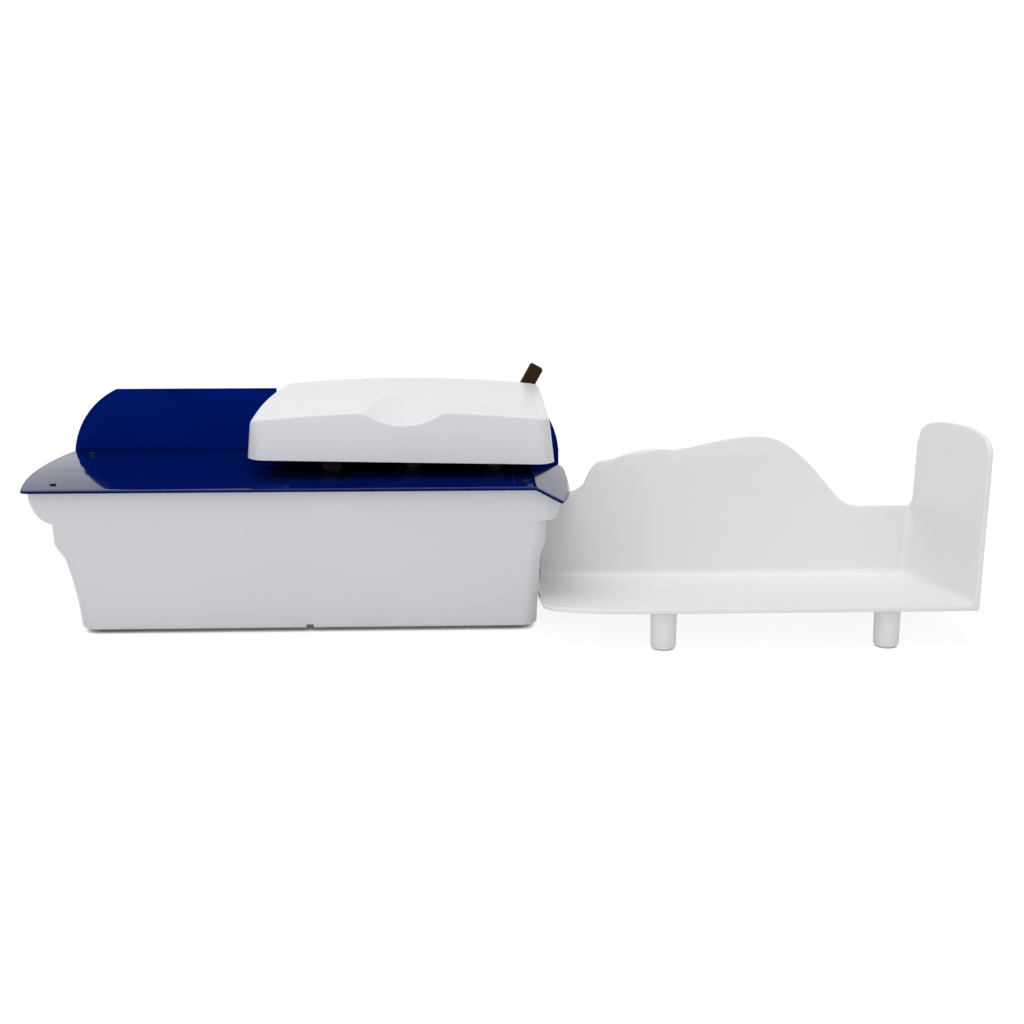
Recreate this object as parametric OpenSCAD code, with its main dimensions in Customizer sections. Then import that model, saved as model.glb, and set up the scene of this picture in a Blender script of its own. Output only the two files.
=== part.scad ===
// Desk machine that feeds a stack of mail over a deck, trims its edge at a guide wall and drops it in a tray.
// Millimetres. X runs along the feed, Y from front to back, Z up from the table.

/* [Base tub] */
// Half of the base's width at its foot
base_half = 220; // [210:0.5:230]
// Depth from the deck's front edge to the base's rear face
base_depth = 330; // [326:1:360]
// Set-back of the foot from the deck's front edge
foot_setback = 41; // [34:1:46]
// Gap between the tub's rim and the table
rim_gap = 4; // [3.5:0.5:5]
// Wall thickness of the tub
tub_wall = 3; // [2.5:0.25:3.5]
// Reach of the grip ledge past the foot on the left
ledge_left = 37.5; // [34:0.5:42]
// Reach of the grip ledge past the foot on the right
ledge_right = 22.5; // [21:0.5:24]
// Plan radius of the tub's upright corners
corner_r = 16; // [12:1:20]
// Radius along the foot's lower edge
foot_edge_r = 4; // [3:0.5:6]
// Height where the slanted foot ends and the step begins
slant_top = 71; // [68:1:76]
// Height where the step ends and the upright band begins
step_top = 94; // [90:1:100]
// Height of the grip ledge's underside
ledge_under = 113; // [110:1:116]
// Diameter of the rubber feet
foot_d = 18; // [14:1:22]

/* [Deck and guide wall] */
// Height of the deck's top face above the table
deck_z = 148; // [146:1:154]
// Sheet thickness of the deck
deck_t = 2; // [1.5:0.25:2.5]
// Reach of the deck to the left of the base's middle, at the front corner
deck_left = 258; // [254:1:268]
// Outward bow of the deck's left edge
deck_bow = 13; // [6:1:16]
// Where the deck bends down into the discharge ramp
ramp_x = 216; // [212:1:218]
// Angle of the discharge ramp
ramp_angle = 28; // [24:1:30]
// Run of the ramp at its front corner
ramp_run = 25; // [20:1:28]
// Extra run of the ramp at its rear end
ramp_flare = 16; // [8:1:18]
// Distance of the guide wall's face from the deck's front edge
wall_y = 236; // [230:1:240]
// Sheet thickness of the guide wall
wall_t = 2.5; // [2:0.25:3]
// Height of the guide wall above the deck
wall_h = 64.5; // [60:0.5:68]
// Half length of the guide wall
wall_half = 257; // [250:1:262]
// Radius of the guide wall's swept ends
wall_end_r = 81; // [74:1:90]

/* [Cover] */
// Left end of the cover at its front edge
cover_left = 60; // [56:1:64]
// Right end of the cover at its front edge
cover_right = 237; // [233:1:240]
// Front edge of the cover, behind the deck's front edge
cover_front = 50; // [44:1:54]
// Rear edge of the cover
cover_rear = 262; // [260:1:264]
// Wall thickness of the cover
cover_wall = 3; // [2.5:0.25:3.5]
// Gap between deck and cover at the left end
gap_left = 19; // [17:0.5:22]
// Gap between deck and cover at the right end
gap_right = 13; // [12.5:0.5:16]
// Height of the cover's front crease above the deck, at the ends
crease_h = 54.5; // [49:0.5:56]
// Rise of the crown in the middle of the cover
crown_rise = 9; // [6:0.5:12]
// Slope of the cover's top, rising to the rear
cover_slope = 2.6; // [2:0.1:3.2]
// Width of the finger scoop at the crease
scoop_w = 87; // [60:1:100]
// Depth of the finger scoop at the crease
scoop_depth = 13.5; // [8:0.5:14]
// Length of the finger scoop along the top
scoop_len = 125; // [90:1:140]

/* [Feed rollers and drive] */
// Place of the first feed shaft
first_shaft_x = 20; // [16:1:24]
// Distance between feed shafts
shaft_pitch = 80; // [76:1:80]
// Diameter of the shafts
shaft_d = 8; // [6:0.5:9]
// Radius of the rubber feed tyres
tyre_r = 15; // [14:0.5:16]
// Width of the feed tyres
tyre_w = 24; // [20:1:26]
// How far the tyres stand above the deck
tyre_proud = 0.8; // [0.5:0.1:1.2]
// Middle of the front row of tyres, behind the deck's front edge
tyre_y = 112; // [110:1:114]
// Distance between the two rows of tyres
tyre_row = 50; // [46:1:52]
// Seat radius of the shaft pulleys
pulley_r = 8; // [7:0.5:8.5]
// Seat radius of the motor pulley
motor_pulley_r = 6; // [5.5:0.5:7]
// Height of the feed motor's axis
motor_z = 92; // [88:1:94]
// Radius of the feed motor's can
motor_r = 28; // [24:1:29]
// Thickness of the belts
belt_t = 1.6; // [1.2:0.1:2]

/* [Press arms and lever] */
// Radius of the press rollers
press_r = 9; // [8:0.5:10]
// Distance from an arm's pivot back to its roller, along the feed
arm_reach = 42; // [38:1:44]
// Height of the arm pivots above the deck
arm_pivot_h = 30; // [28.5:0.5:31]
// Diameter of the rods the arms turn on
rod_d = 5; // [4:0.5:6]
// Place of the lift shaft along the feed
lift_x = 198.3; // [197:0.1:200]
// Height of the lift shaft above the deck
lift_h = 22; // [21:0.5:23]
// Tilt of the lever to the right, at rest
lever_tilt = 29; // [20:1:32]
// Length of the lever from the lift shaft's axis
lever_len = 69; // [56:0.5:76]
// Width of the lever
lever_w = 15; // [11:0.5:16]
// Thickness of the lever
lever_t = 11; // [8:0.5:12]

/* [Cutter and chip drawer] */
// Place of the cutter along the feed
cutter_x = 130; // [124:1:136]
// Radius of the cutter
cutter_r = 18; // [16:0.5:20]
// Height of the cutter
cutter_h = 8; // [6:0.5:9]
// Number of teeth on the cutter
cutter_teeth = 12; // [8:1:16]
// How far the cutter reaches through the guide wall
cutter_bite = 1.5; // [1:0.1:2]
// Radius of the cutter motor's can
cutter_motor_r = 23; // [20:0.5:24]
// Width of the chip drawer
drawer_w = 150; // [130:1:156]
// Height of the chip drawer
drawer_h = 52; // [44:1:54]
// Length of the chip drawer
drawer_len = 102; // [90:1:104]
// Wall thickness of the chip drawer
drawer_wall = 2; // [1.5:0.25:2.5]

/* [Receiving tray] */
// Length of the tray's floor
tray_len = 397; // [370:1:430]
// Depth of the tray's floor
tray_depth = 225; // [215:1:230]
// Thickness of the tray's walls
tray_wall = 5; // [4:0.25:6]
// Backward tilt of the tray
tray_tilt = 6.7; // [5.5:0.1:7]
// Height of the floor's front edge
tray_front_z = 42.6; // [41:0.2:46]
// How far the tray stands in front of the deck's front edge
tray_front = 42; // [20:1:50]
// Height of the back wall at its hump
tray_hump = 148.5; // [140:0.5:160]
// Height of the back wall's low end
tray_low = 74.5; // [66:0.5:84]
// Height of the end wall
tray_end_h = 165; // [150:1:180]
// Outward lean of the end wall
tray_lean = 4; // [1:0.5:5]
// Top radius of the tray's front legs
leg_r = 12.6; // [10:0.2:14]

/* [Hidden] */
$fn = 48;

// Cut-outs run this far past the faces they open
over = 1;
// Radial running clearance of a shaft in its bore
run_fit = 0.05;
// Side clearance between pieces that move past each other
slip = 0.5;
// Least gap kept between a rolling face and what it faces
nip = 0.3;

// Heights and faces that several pieces share
deck_under = deck_z - deck_t;
plate_t = 1.5;
plate_z = rim_gap + 1;
plate_top = plate_z + plate_t;
lip_t = 3;
lip_w = 12;
recess = [18, 14];
lip_top = plate_top + lip_t;
wall_back = wall_y + wall_t;
wall_top = deck_z + wall_h;
wall_low = deck_z + 42;
wall_mid_x = -4.3;

// The slant above the foot starts upright and leans out more and more
slant_bow = 1.8;
// Outlines of three sides: reach past the foot at the slant, the band and the ledge, and ledge height
left_side = [7.5, 17.5, ledge_left, 31];
right_side = [2, 7, ledge_right, 21];
rear_side = [0, 0, 0, 25];

function part(z, low, high) = min(1, max(0, (z - low) / (high - low)));
function ease(t) = t * t * (3 - 2 * t);
function swell(t) = sqrt(1 - (1 - t) * (1 - t));
function edge_in(z) = let (h = max(0, rim_gap + foot_edge_r - z))
    foot_edge_r - sqrt(max(0, foot_edge_r * foot_edge_r - h * h));
function reach(z, side) = -edge_in(z)
    + side[0] * pow(part(z, rim_gap + foot_edge_r, slant_top), slant_bow)
    + (side[1] - side[0]) * ease(part(z, slant_top, step_top))
    + (side[2] - side[1]) * swell(part(z, ledge_under, ledge_under + side[3]));
// The front rises in one smooth sweep from its foot to a little behind the deck's edge
front_overhang = 9;
front_sweep = 2.1;
function front_reach(z) = -edge_in(z)
    + (foot_setback - front_overhang) * (1 - pow(1 - part(z, rim_gap + foot_edge_r, deck_under), front_sweep));

// One level of the tub: a rounded rectangle whose four sides follow their own outlines
corner_steps = 5;
function tub_ring(z, inset) = let (
        c = corner_r - inset,
        right = base_half + reach(z - inset, right_side) - inset,
        left = base_half + reach(z - inset, left_side) - inset,
        front = foot_setback - front_reach(z - inset) + inset,
        rear = base_depth + reach(z - inset, rear_side) - inset)
    [for (k = [0:3]) for (a = [0:corner_steps])
        let (turn = 90 * (k + a / corner_steps),
             cx = k == 0 || k == 3 ? right - c : c - left,
             cy = k < 2 ? rear - c : front + c)
        [cx + c * cos(turn), cy + c * sin(turn), z]];

// Closed skin through a stack of rings that all have the same number of points
module skin(rings) {
    n = len(rings[0]);
    m = len(rings);
    sides = [for (k = [0:m - 2]) for (i = [0:n - 1]) let (a = k * n + i, b = k * n + (i + 1) % n)
        each [[a, a + n, b + n], [a, b + n, b]]];
    bottom = [for (i = [0:n - 1]) i];
    top = [for (i = [0:n - 1]) m * n - 1 - i];
    polyhedron(points = [for (r = rings) each r], faces = concat([bottom, top], sides));
}

// Levels at which the tub's outline is taken: close together where it turns
edge_levels = [for (a = [0:4]) rim_gap + foot_edge_r * (1 - cos(22.5 * a))];
slant_levels = [for (i = [1:4]) rim_gap + foot_edge_r + (slant_top - rim_gap - foot_edge_r) * i / 4];
step_levels = [for (i = [1:6]) slant_top + (step_top - slant_top) * i / 6];
ledge_levels = [for (a = [0:6]) ledge_under + (deck_under - ledge_under - 2) * (1 - cos(15 * a))];
tub_levels = concat(edge_levels, slant_levels, step_levels, ledge_levels, [deck_under]);

// Everything is drawn from the base's middle and the deck's front edge, then centred under its own outline
deck_left_end = -deck_left - deck_bow;
tray_x = base_half + 3;
tray_lean_out = tray_wall * cos(tray_lean) + tray_end_h * sin(tray_lean);
tray_right_end = tray_x + tray_len + tray_lean_out;
front_end = -tray_front - tray_wall * sin(tray_tilt);
drawer_proud = 2;
rear_end = base_depth + drawer_proud;
module place() {
    translate([-(deck_left_end + tray_right_end) / 2, -(front_end + rear_end) / 2, 0]) children();
}

// Cylinder along Y from y0 to y1, and along X from x0 to x1
module along_y(r, x, z, y0, y1) translate([x, y1, z]) rotate([90, 0, 0]) cylinder(r = r, h = y1 - y0);
module along_x(r, y, z, x0, x1) translate([x0, y, z]) rotate([0, 90, 0]) cylinder(r = r, h = x1 - x0);
// Box between two opposite corners
module box(low, high) translate(low) cube(high - low);
// Profile in X and Z, extruded from y0 to y1
module slice_y(y0, y1) translate([0, y1, 0]) rotate([90, 0, 0]) linear_extrude(y1 - y0) children();
// Profile in Y and Z, extruded from x0 to x1
module slice_x(x0, x1) translate([x0, 0, 0]) rotate([90, 0, 90]) linear_extrude(x1 - x0) children();
// Points of a cubic curve
function curve(p, n) = [for (i = [0:n]) let (t = i / n, u = 1 - t)
    u * u * u * p[0] + 3 * u * u * t * p[1] + 3 * u * t * t * p[2] + t * t * t * p[3]];

// Screws: a pan head on a plain shank, standing up the Z axis with the seat at z = 0
screw_d = 3;
screw_hole = screw_d + 0.2;
head_r = 3;
head_h = 1.8;
module screw(shank) {
    translate([0, 0, -shank]) cylinder(d = screw_d, h = shank + head_h / 2);
    difference() {
        cylinder(r = head_r, h = head_h);
        translate([-head_r, -0.4, head_h - 0.8]) cube([2 * head_r, 0.8, head_h]);
    }
}

// Places of the screws
base_screw_at = [for (x = [-1, 1]) for (y = [foot_setback + 20, base_depth - 20]) [x * (base_half - 24), y]];
foot_at = [for (x = [-1, 1]) for (y = [foot_setback + 34, base_depth - 34]) [x * (base_half - 30), y]];
boss_edge = 6;
left_boss_x = -min(base_half + left_side[1] - 1, deck_left - 2 * boss_edge);
right_boss_x = ramp_x - 8;
boss_y = [36, wall_y - 26];
deck_screw_at = [for (y = boss_y) for (x = [left_boss_x, right_boss_x]) [x, y]];
boss_r = 4.5;

// Rear connectors: middle of the mains inlet and of the switch, on the rear face
inlet_at = [-150, 50];
switch_at = [-100, 50];
inlet_w = 27;
inlet_h = 20;
switch_w = 14;
switch_h = 22;

// Chip drawer, seen from the rear of the base
rail_half = 4;
rail_in = 15;
drawer_x = min(cutter_x - 15, base_half - recess[0] - lip_w - slip - drawer_w / 2 + rail_in - rail_half);
drawer_z = lip_top + slip;
drawer_front = rear_end - drawer_len;

// White moulded shell of the base, open on top and below, with a lip for the base plate
module base_tub() {
    color("whitesmoke") place() difference() {
        union() {
            difference() {
                skin([for (z = tub_levels) tub_ring(z, 0)]);
                skin([for (z = concat([lip_top], [for (l = tub_levels) if (l > lip_top + 3) l + tub_wall]))
                    tub_ring(z, tub_wall)]);
            }
            for (y = boss_y) {
                translate([left_boss_x, y, ledge_under - over])
                    cylinder(r = boss_r, h = deck_under - ledge_under + over);
                translate([right_boss_x, y, ledge_under - 20])
                    cylinder(r = boss_r, h = deck_under - ledge_under + 20);
                box([right_boss_x, y - 1.5, ledge_under - 20], [base_half + right_side[1] - 2, y + 1.5, deck_under - 16]);
            }
        }
        // recess of the base plate, and the opening inside its lip
        plate_room(0, 0, plate_top);
        plate_room(lip_w, 0, lip_top + over);
        // bed of the ramp on the right end
        translate([ramp_x, -over, deck_under]) rotate([0, ramp_angle, 0])
            cube([base_half, over + wall_back, deck_z]);
        // notch in the rim below the front face
        box([-3.5, 0, 0], [3.5, foot_setback + 14, rim_gap + 4]);
        // windows for the drawer, the inlet and the switch
        box([drawer_x - drawer_w / 2 - slip, base_depth - 3 * tub_wall, lip_top],
            [drawer_x + drawer_w / 2 + slip, base_depth + over, drawer_z + drawer_h + slip]);
        rear_window(inlet_at, inlet_w, inlet_h);
        rear_window(switch_at, switch_w, switch_h);
        for (p = deck_screw_at) translate([p[0], p[1], deck_under - 10]) cylinder(d = screw_hole, h = 10 + over);
        for (p = base_screw_at) translate([p[0], p[1], 0]) cylinder(d = screw_hole, h = lip_top + over);
    }
}
module plate_room(inset, low, high) {
    x = base_half - recess[0] - inset;
    box([-x, foot_setback + recess[1] + inset, low], [x, base_depth - recess[1] - inset, high]);
}
module rear_window(at, w, h) {
    box([at[0] - w / 2 - 0.2, base_depth - 2 * tub_wall, at[1] - h / 2 - 0.2],
        [at[0] + w / 2 + 0.2, base_depth + over, at[1] + h / 2 + 0.2]);
}

// Steel sheet that closes the tub from below
module base_plate() {
    color("silver") place() difference() {
        plate_room(nip, plate_z, plate_top);
        for (p = base_screw_at) translate([p[0], p[1], 0]) cylinder(d = screw_hole, h = lip_top);
    }
}

// Four rubber feet under the plate, tapered to the table
module rubber_feet() {
    color("dimgray") place() for (p = foot_at) translate([p[0], p[1], 0])
        cylinder(d1 = foot_d - 3, d2 = foot_d, h = plate_z);
}

// Four screws from below through the plate into the lip
module base_screws() {
    color("gray") place() for (p = base_screw_at) translate([p[0], p[1], plate_z]) rotate([180, 0, 0])
        screw(lip_top - plate_z);
}

// Deck outline: bowed left edge with a rounded front corner, flared ramp end
deck_corner = 6;
deck_outline = concat(
    [for (a = [0:3]) [deck_corner - deck_left - deck_corner * cos(30 * a), deck_corner * (1 - sin(30 * a))]],
    [for (i = [0:8]) let (t = i / 8) [ramp_x + ramp_run + ramp_flare * (1 - (1 - t) * (1 - t)), wall_y * t]],
    [for (i = [0:9]) let (t = 1 - i / 10) [-deck_left - deck_bow * (1 - pow(2 * t - 1, 2)), wall_y * t]]);
ramp_len = 2 * (ramp_run + ramp_flare);
shaft_z = deck_z + tyre_proud - tyre_r;
tyre_rows = [tyre_y, tyre_y + tyre_row];
shafts_x = [for (i = [0:2]) first_shaft_x + i * shaft_pitch];
tyre_chord = sqrt(tyre_r * tyre_r - pow(deck_under - shaft_z, 2));

// Bent navy sheet: flat deck with slots for the tyres, and the ramp at its right end
module deck_plate() {
    a = ramp_angle;
    color("midnightblue") place() difference() {
        intersection() {
            slice_y(0, wall_y) polygon([
                [2 * deck_left_end, deck_under], [ramp_x, deck_under],
                [ramp_x + ramp_len * cos(a), deck_under - ramp_len * sin(a)],
                [ramp_x + ramp_len * cos(a) + deck_t * sin(a), deck_under - ramp_len * sin(a) + deck_t * cos(a)],
                [ramp_x + deck_t * tan(a / 2), deck_z], [2 * deck_left_end, deck_z]]);
            linear_extrude(2 * deck_z) polygon(deck_outline);
        }
        for (x = shafts_x) for (y = tyre_rows)
            box([x - tyre_chord - 2, y - tyre_w / 2 - 2, deck_under - over],
                [x + tyre_chord + 2, y + tyre_w / 2 + 2, deck_z + over]);
        for (p = deck_screw_at) translate([p[0], p[1], deck_under - over]) cylinder(d = screw_hole, h = 2 * deck_t + over);
    }
}

// Screws that hold the deck on the tub's bosses
module deck_screws() {
    color("dimgray") place() for (p = deck_screw_at) translate([p[0], p[1], deck_z]) screw(9);
}

// Navy guide wall with swept ends, a low middle under the cover and a shelf over the rear of the tub
cutter_y = wall_y + cutter_r - cutter_bite;
cutter_z = deck_z + 2;
chute_w = 40;
chute_at = [cutter_x - 55, wall_y + 34];
lift_z = deck_z + lift_h;
wall_end_z = deck_z - 9;
cover_taper = 14;
shelf_left = -base_half - ledge_left + 1;
shelf_right = base_half + ledge_right - 1;
module rear_shelf() {
    r = corner_r - 1;
    translate([shelf_left, wall_back]) square([shelf_right - shelf_left, base_depth - 1 - r - wall_back]);
    translate([shelf_left + r, wall_back]) square([shelf_right - shelf_left - 2 * r, base_depth - 1 - wall_back]);
    for (x = [shelf_left + r, shelf_right - r]) translate([x, base_depth - 1 - r]) circle(r = r);
}
module guide_wall() {
    color("navy") place() {
        difference() {
            slice_y(wall_y, wall_back) difference() {
                union() {
                    intersection() {
                        translate([wall_mid_x - wall_half, deck_under]) square([2 * wall_half, wall_top - deck_under]);
                        union() {
                            for (s = [-1, 1]) translate([wall_mid_x + s * (wall_half - wall_end_r), wall_end_z])
                                circle(r = wall_end_r, $fn = 96);
                            translate([wall_mid_x - wall_half + wall_end_r, deck_under])
                                square([2 * (wall_half - wall_end_r), wall_top - deck_under]);
                        }
                    }
                    polygon([[ramp_x, deck_under], [wall_mid_x + wall_half, deck_under],
                        [wall_mid_x + wall_half, deck_under - (wall_mid_x + wall_half - ramp_x) * tan(ramp_angle)]]);
                }
                translate([cover_taper - cover_left - slip, wall_low]) square([2 * wall_half, wall_h]);
            }
            box([cutter_x - cutter_r - 2, wall_y - over, deck_z + 1],
                [cutter_x + cutter_r + 2, wall_back + over, cutter_z + cutter_h + 3]);
            along_y(shaft_d / 2 + slip, lift_x, lift_z, wall_y - over, wall_back + over);
        }
        difference() {
            translate([0, 0, deck_under]) linear_extrude(deck_t) rear_shelf();
            translate([cutter_x, cutter_y, deck_under - over]) cylinder(r = 6, h = 2 * deck_t + over);
            box([chute_at[0] - chute_w / 2 + 2, chute_at[1] - chute_w / 2 + 2, deck_under - over],
                [chute_at[0] + chute_w / 2 - 2, chute_at[1] + chute_w / 2 - 2, deck_z + over]);
        }
    }
}

// Bearing plates hung under the deck: a bent flange on top and a bore for each shaft bush
bearing_t = 2;
front_plate_y = tyre_y - tyre_w / 2 - 26;
rear_plate_y = tyre_y + tyre_row + tyre_w / 2 + 22;
bush_r = shaft_d / 2 + 2;
module bearing_plate(y, flange_y) {
    low = shaft_z - bush_r - 8;
    difference() {
        union() {
            box([shafts_x[0] - 26, y, low], [shafts_x[2] + 20, y + bearing_t, deck_under]);
            box([shafts_x[0] - 26, min(y, flange_y), deck_under - bearing_t],
                [shafts_x[2] + 20, max(y + bearing_t, flange_y), deck_under]);
        }
        for (x = shafts_x) along_y(bush_r + run_fit, x, shaft_z, y - over, y + bearing_t + over);
    }
}
module front_bearing_plate() color("silver") place() bearing_plate(front_plate_y, front_plate_y - 12);
module rear_bearing_plate() color("silver") place() bearing_plate(rear_plate_y, rear_plate_y - 14);

// Flanged bronze bushes, one at each end of each shaft
module shaft_bushes() {
    color("peru") place() for (x = shafts_x) {
        bush(x, front_plate_y - 1.5, front_plate_y, front_plate_y + bearing_t + 1);
        bush(x, rear_plate_y - 1.5, rear_plate_y, rear_plate_y + bearing_t + 1);
    }
}
module bush(x, flange_y, seat_y, end_y) difference() {
    union() {
        along_y(bush_r, x, shaft_z, flange_y, end_y);
        along_y(bush_r + 2, x, shaft_z, flange_y, seat_y);
    }
    along_y(shaft_d / 2 + run_fit, x, shaft_z, flange_y - over, end_y + over);
}

// Feed motor: a ribbed can with a gear head, its shaft bore facing the pulleys
belt_w = 5.4;
pulley_w = 8;
flange_w = 1;
drive_y = rear_plate_y + bearing_t + 6;
transfer_y = drive_y + pulley_w + 2;
motor_x = (shafts_x[0] + shafts_x[1]) / 2;
motor_face = rear_plate_y - 4;
bracket_t = 3;
module feed_motor() {
    face = motor_face - bracket_t;
    color("slategray") place() difference() {
        union() {
            along_y(motor_r, motor_x, motor_z, face - 20, face);
            along_y(motor_r - 4, motor_x, motor_z, face - 72, face - 20);
            for (k = [0:3]) along_y(motor_r - 2, motor_x, motor_z, face - 66 + 11 * k, face - 63 + 11 * k);
            along_y(7, motor_x, motor_z, face - 77, face - 72);
        }
        along_y(shaft_d / 2 + run_fit, motor_x, motor_z, face - 16, face + over);
    }
}
// Angle bracket that stands on the base plate and carries the feed motor
module motor_bracket() {
    color("silver") place() difference() {
        union() {
            box([motor_x - motor_r - 6, motor_face - bracket_t, plate_top],
                [motor_x + motor_r + 6, motor_face, motor_z + motor_r + 4]);
            box([motor_x - motor_r - 6, motor_face - 34, plate_top],
                [motor_x + motor_r + 6, motor_face, plate_top + bracket_t]);
        }
        along_y(shaft_d / 2 + 2, motor_x, motor_z, motor_face - bracket_t - over, motor_face + over);
    }
}

// Flanged pulley on a shaft along Y, its front face at y
module pulley(x, z, y, seat, bore) difference() {
    union() {
        along_y(seat, x, z, y, y + pulley_w);
        for (f = [y, y + pulley_w - flange_w]) along_y(seat + belt_t + 1, x, z, f, f + flange_w);
    }
    along_y(bore, x, z, y - over, y + pulley_w + over);
}
module motor_pulley() {
    color("gold") place() {
        pulley(motor_x, motor_z, drive_y, motor_pulley_r, shaft_d / 2 - over);
        along_y(shaft_d / 2, motor_x, motor_z, motor_face - bracket_t - 14, drive_y + pulley_w);
    }
}

// Flat belts, each drawn as the loop round its pulleys
module belt_loop(y, wheels) {
    slice_y(y + (pulley_w - belt_w) / 2, y + (pulley_w + belt_w) / 2) difference() {
        hull() for (w = wheels) translate([w[0], w[1]]) circle(r = w[2] + nip + belt_t);
        hull() for (w = wheels) translate([w[0], w[1]]) circle(r = w[2] + nip);
    }
}
module drive_belt() {
    color("black") place() belt_loop(drive_y, [[motor_x, motor_z, motor_pulley_r],
        [shafts_x[0], shaft_z, pulley_r], [shafts_x[1], shaft_z, pulley_r]]);
}
module transfer_belt() {
    color("black") place() belt_loop(transfer_y, [[shafts_x[1], shaft_z, pulley_r], [shafts_x[2], shaft_z, pulley_r]]);
}

// Feed shafts with their tyres and pulleys
shaft_front = front_plate_y - 5;
shaft_rear = transfer_y + pulley_w + 3;
module feed_axle(x) along_y(shaft_d / 2, x, shaft_z, shaft_front, shaft_rear);
module tyres(x) for (y = tyre_rows) difference() {
    along_y(tyre_r, x, shaft_z, y - tyre_w / 2, y + tyre_w / 2);
    along_y(shaft_d / 2 + run_fit, x, shaft_z, y - tyre_w, y + tyre_w);
    for (k = [1:3]) translate([x, y - tyre_w / 2 + k * tyre_w / 4 + 0.5, shaft_z]) rotate([90, 0, 0])
        rotate_extrude() translate([tyre_r - 0.7, 0]) square([1.4, 1]);
}
module pick_shaft() color("silver") place() feed_axle(shafts_x[0]);
module feed_shaft() color("silver") place() feed_axle(shafts_x[1]);
module exit_shaft() color("silver") place() feed_axle(shafts_x[2]);
module pick_tyres() color("dimgray") place() tyres(shafts_x[0]);
module feed_tyres() color("dimgray") place() tyres(shafts_x[1]);
module exit_tyres() color("dimgray") place() tyres(shafts_x[2]);
module pick_pulley() color("gold") place() pulley(shafts_x[0], shaft_z, drive_y, pulley_r, shaft_d / 2 + run_fit);
module feed_pulleys() {
    color("gold") place() for (y = [drive_y, transfer_y])
        pulley(shafts_x[1], shaft_z, y, pulley_r, shaft_d / 2 + run_fit);
}
module exit_pulley() color("gold") place() pulley(shafts_x[2], shaft_z, transfer_y, pulley_r, shaft_d / 2 + run_fit);

// Cutter motor hung under the flange, with the toothed cutter on its spindle
spindle_d = 6;
spindle_in = 24;
cutter_can = 60;
cutter_tail = [8, 6];
vent = [4, 40, 10];
module cutter_motor() {
    top = deck_under - deck_t;
    color("slategray") place() translate([cutter_x, cutter_y, 0]) difference() {
        union() {
            translate([0, 0, top - cutter_can]) cylinder(r = cutter_motor_r, h = cutter_can);
            translate([0, 0, top - cutter_can - cutter_tail[1]]) cylinder(r = cutter_tail[0], h = cutter_tail[1]);
        }
        translate([0, 0, top - spindle_in]) cylinder(r = spindle_d / 2 + run_fit, h = spindle_in + over);
        for (k = [0:5]) rotate(60 * k) translate([cutter_motor_r, -vent[0] / 2, top - vent[1] - vent[2]])
            cube([vent[0], vent[0], vent[1]]);
    }
}
module cutter_bracket() {
    color("silver") place() difference() {
        box([cutter_x - cutter_motor_r - 10, wall_y - 8, deck_under - 2],
            [cutter_x + cutter_motor_r + 10, cutter_y + cutter_motor_r + 10, deck_under]);
        translate([cutter_x, cutter_y, deck_under - 2 - over]) cylinder(r = 6, h = 4 + over);
    }
}
module cutter_head() {
    color("silver") place() translate([cutter_x, cutter_y, 0]) {
        difference() {
            translate([0, 0, cutter_z]) cylinder(r = cutter_r, h = cutter_h, $fn = 96);
            for (k = [0:cutter_teeth - 1]) rotate(k * 360 / cutter_teeth) translate([cutter_r + 1, 0, cutter_z - over])
                cylinder(r = 3.2, h = cutter_h + 2 * over);
        }
        translate([0, 0, deck_under - spindle_in]) cylinder(d = spindle_d, h = cutter_z + cutter_h + 2 - deck_under + spindle_in);
    }
}

// Square chute that leads the chips from the cutter down to the drawer
module chip_chute() {
    low = drawer_z + drawer_h + 4;
    color("dimgray") place() translate([chute_at[0], chute_at[1], 0]) difference() {
        box([-chute_w / 2, -chute_w / 2, low], [chute_w / 2, chute_w / 2, deck_under]);
        box([2 - chute_w / 2, 2 - chute_w / 2, low - over], [chute_w / 2 - 2, chute_w / 2 - 2, deck_under + over]);
    }
}
// Strips on the base plate that the drawer slides on
module drawer_rails() {
    color("silver") place() for (s = [-1, 1]) translate([drawer_x + s * (drawer_w / 2 - rail_in), 0, 0])
        box([-rail_half, drawer_front + rail_half, plate_top], [rail_half, base_depth - 2 * rail_in, drawer_z - nip]);
}
// Chip drawer with a finger pull in its rear face
module chip_drawer() {
    h = drawer_w / 2;
    color("whitesmoke") place() translate([drawer_x, 0, drawer_z]) difference() {
        box([-h, drawer_front, 0], [h, rear_end, drawer_h]);
        box([drawer_wall - h, drawer_front + drawer_wall, drawer_wall],
            [h - drawer_wall, rear_end - 14, drawer_h + over]);
        translate([0, rear_end + 2, drawer_h + 6]) rotate([0, 90, 0])
            translate([0, 0, -26]) cylinder(r = 14, h = 52);
    }
}

// Circuit board on spacers, with its transformer, relay and capacitors
board_at = [-170, 96];
board_size = [92, 62];
board_z = plate_top + 8;
module control_board() {
    color("seagreen") place() translate([board_at[0], board_at[1], 0]) {
        box([0, 0, board_z], [board_size[0], board_size[1], board_z + 1.6]);
        for (x = [6, board_size[0] - 6]) for (y = [6, board_size[1] - 6])
            translate([x, y, plate_top]) cylinder(r = 3, h = board_z - plate_top);
        box([12, 14, board_z + 1.6], [46, 46, board_z + 27]);
        box([56, 38, board_z + 1.6], [80, 54, board_z + 17]);
        for (x = [58, 74]) translate([x, 20, board_z + 1.6]) cylinder(r = 6, h = 20);
    }
}

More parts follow.
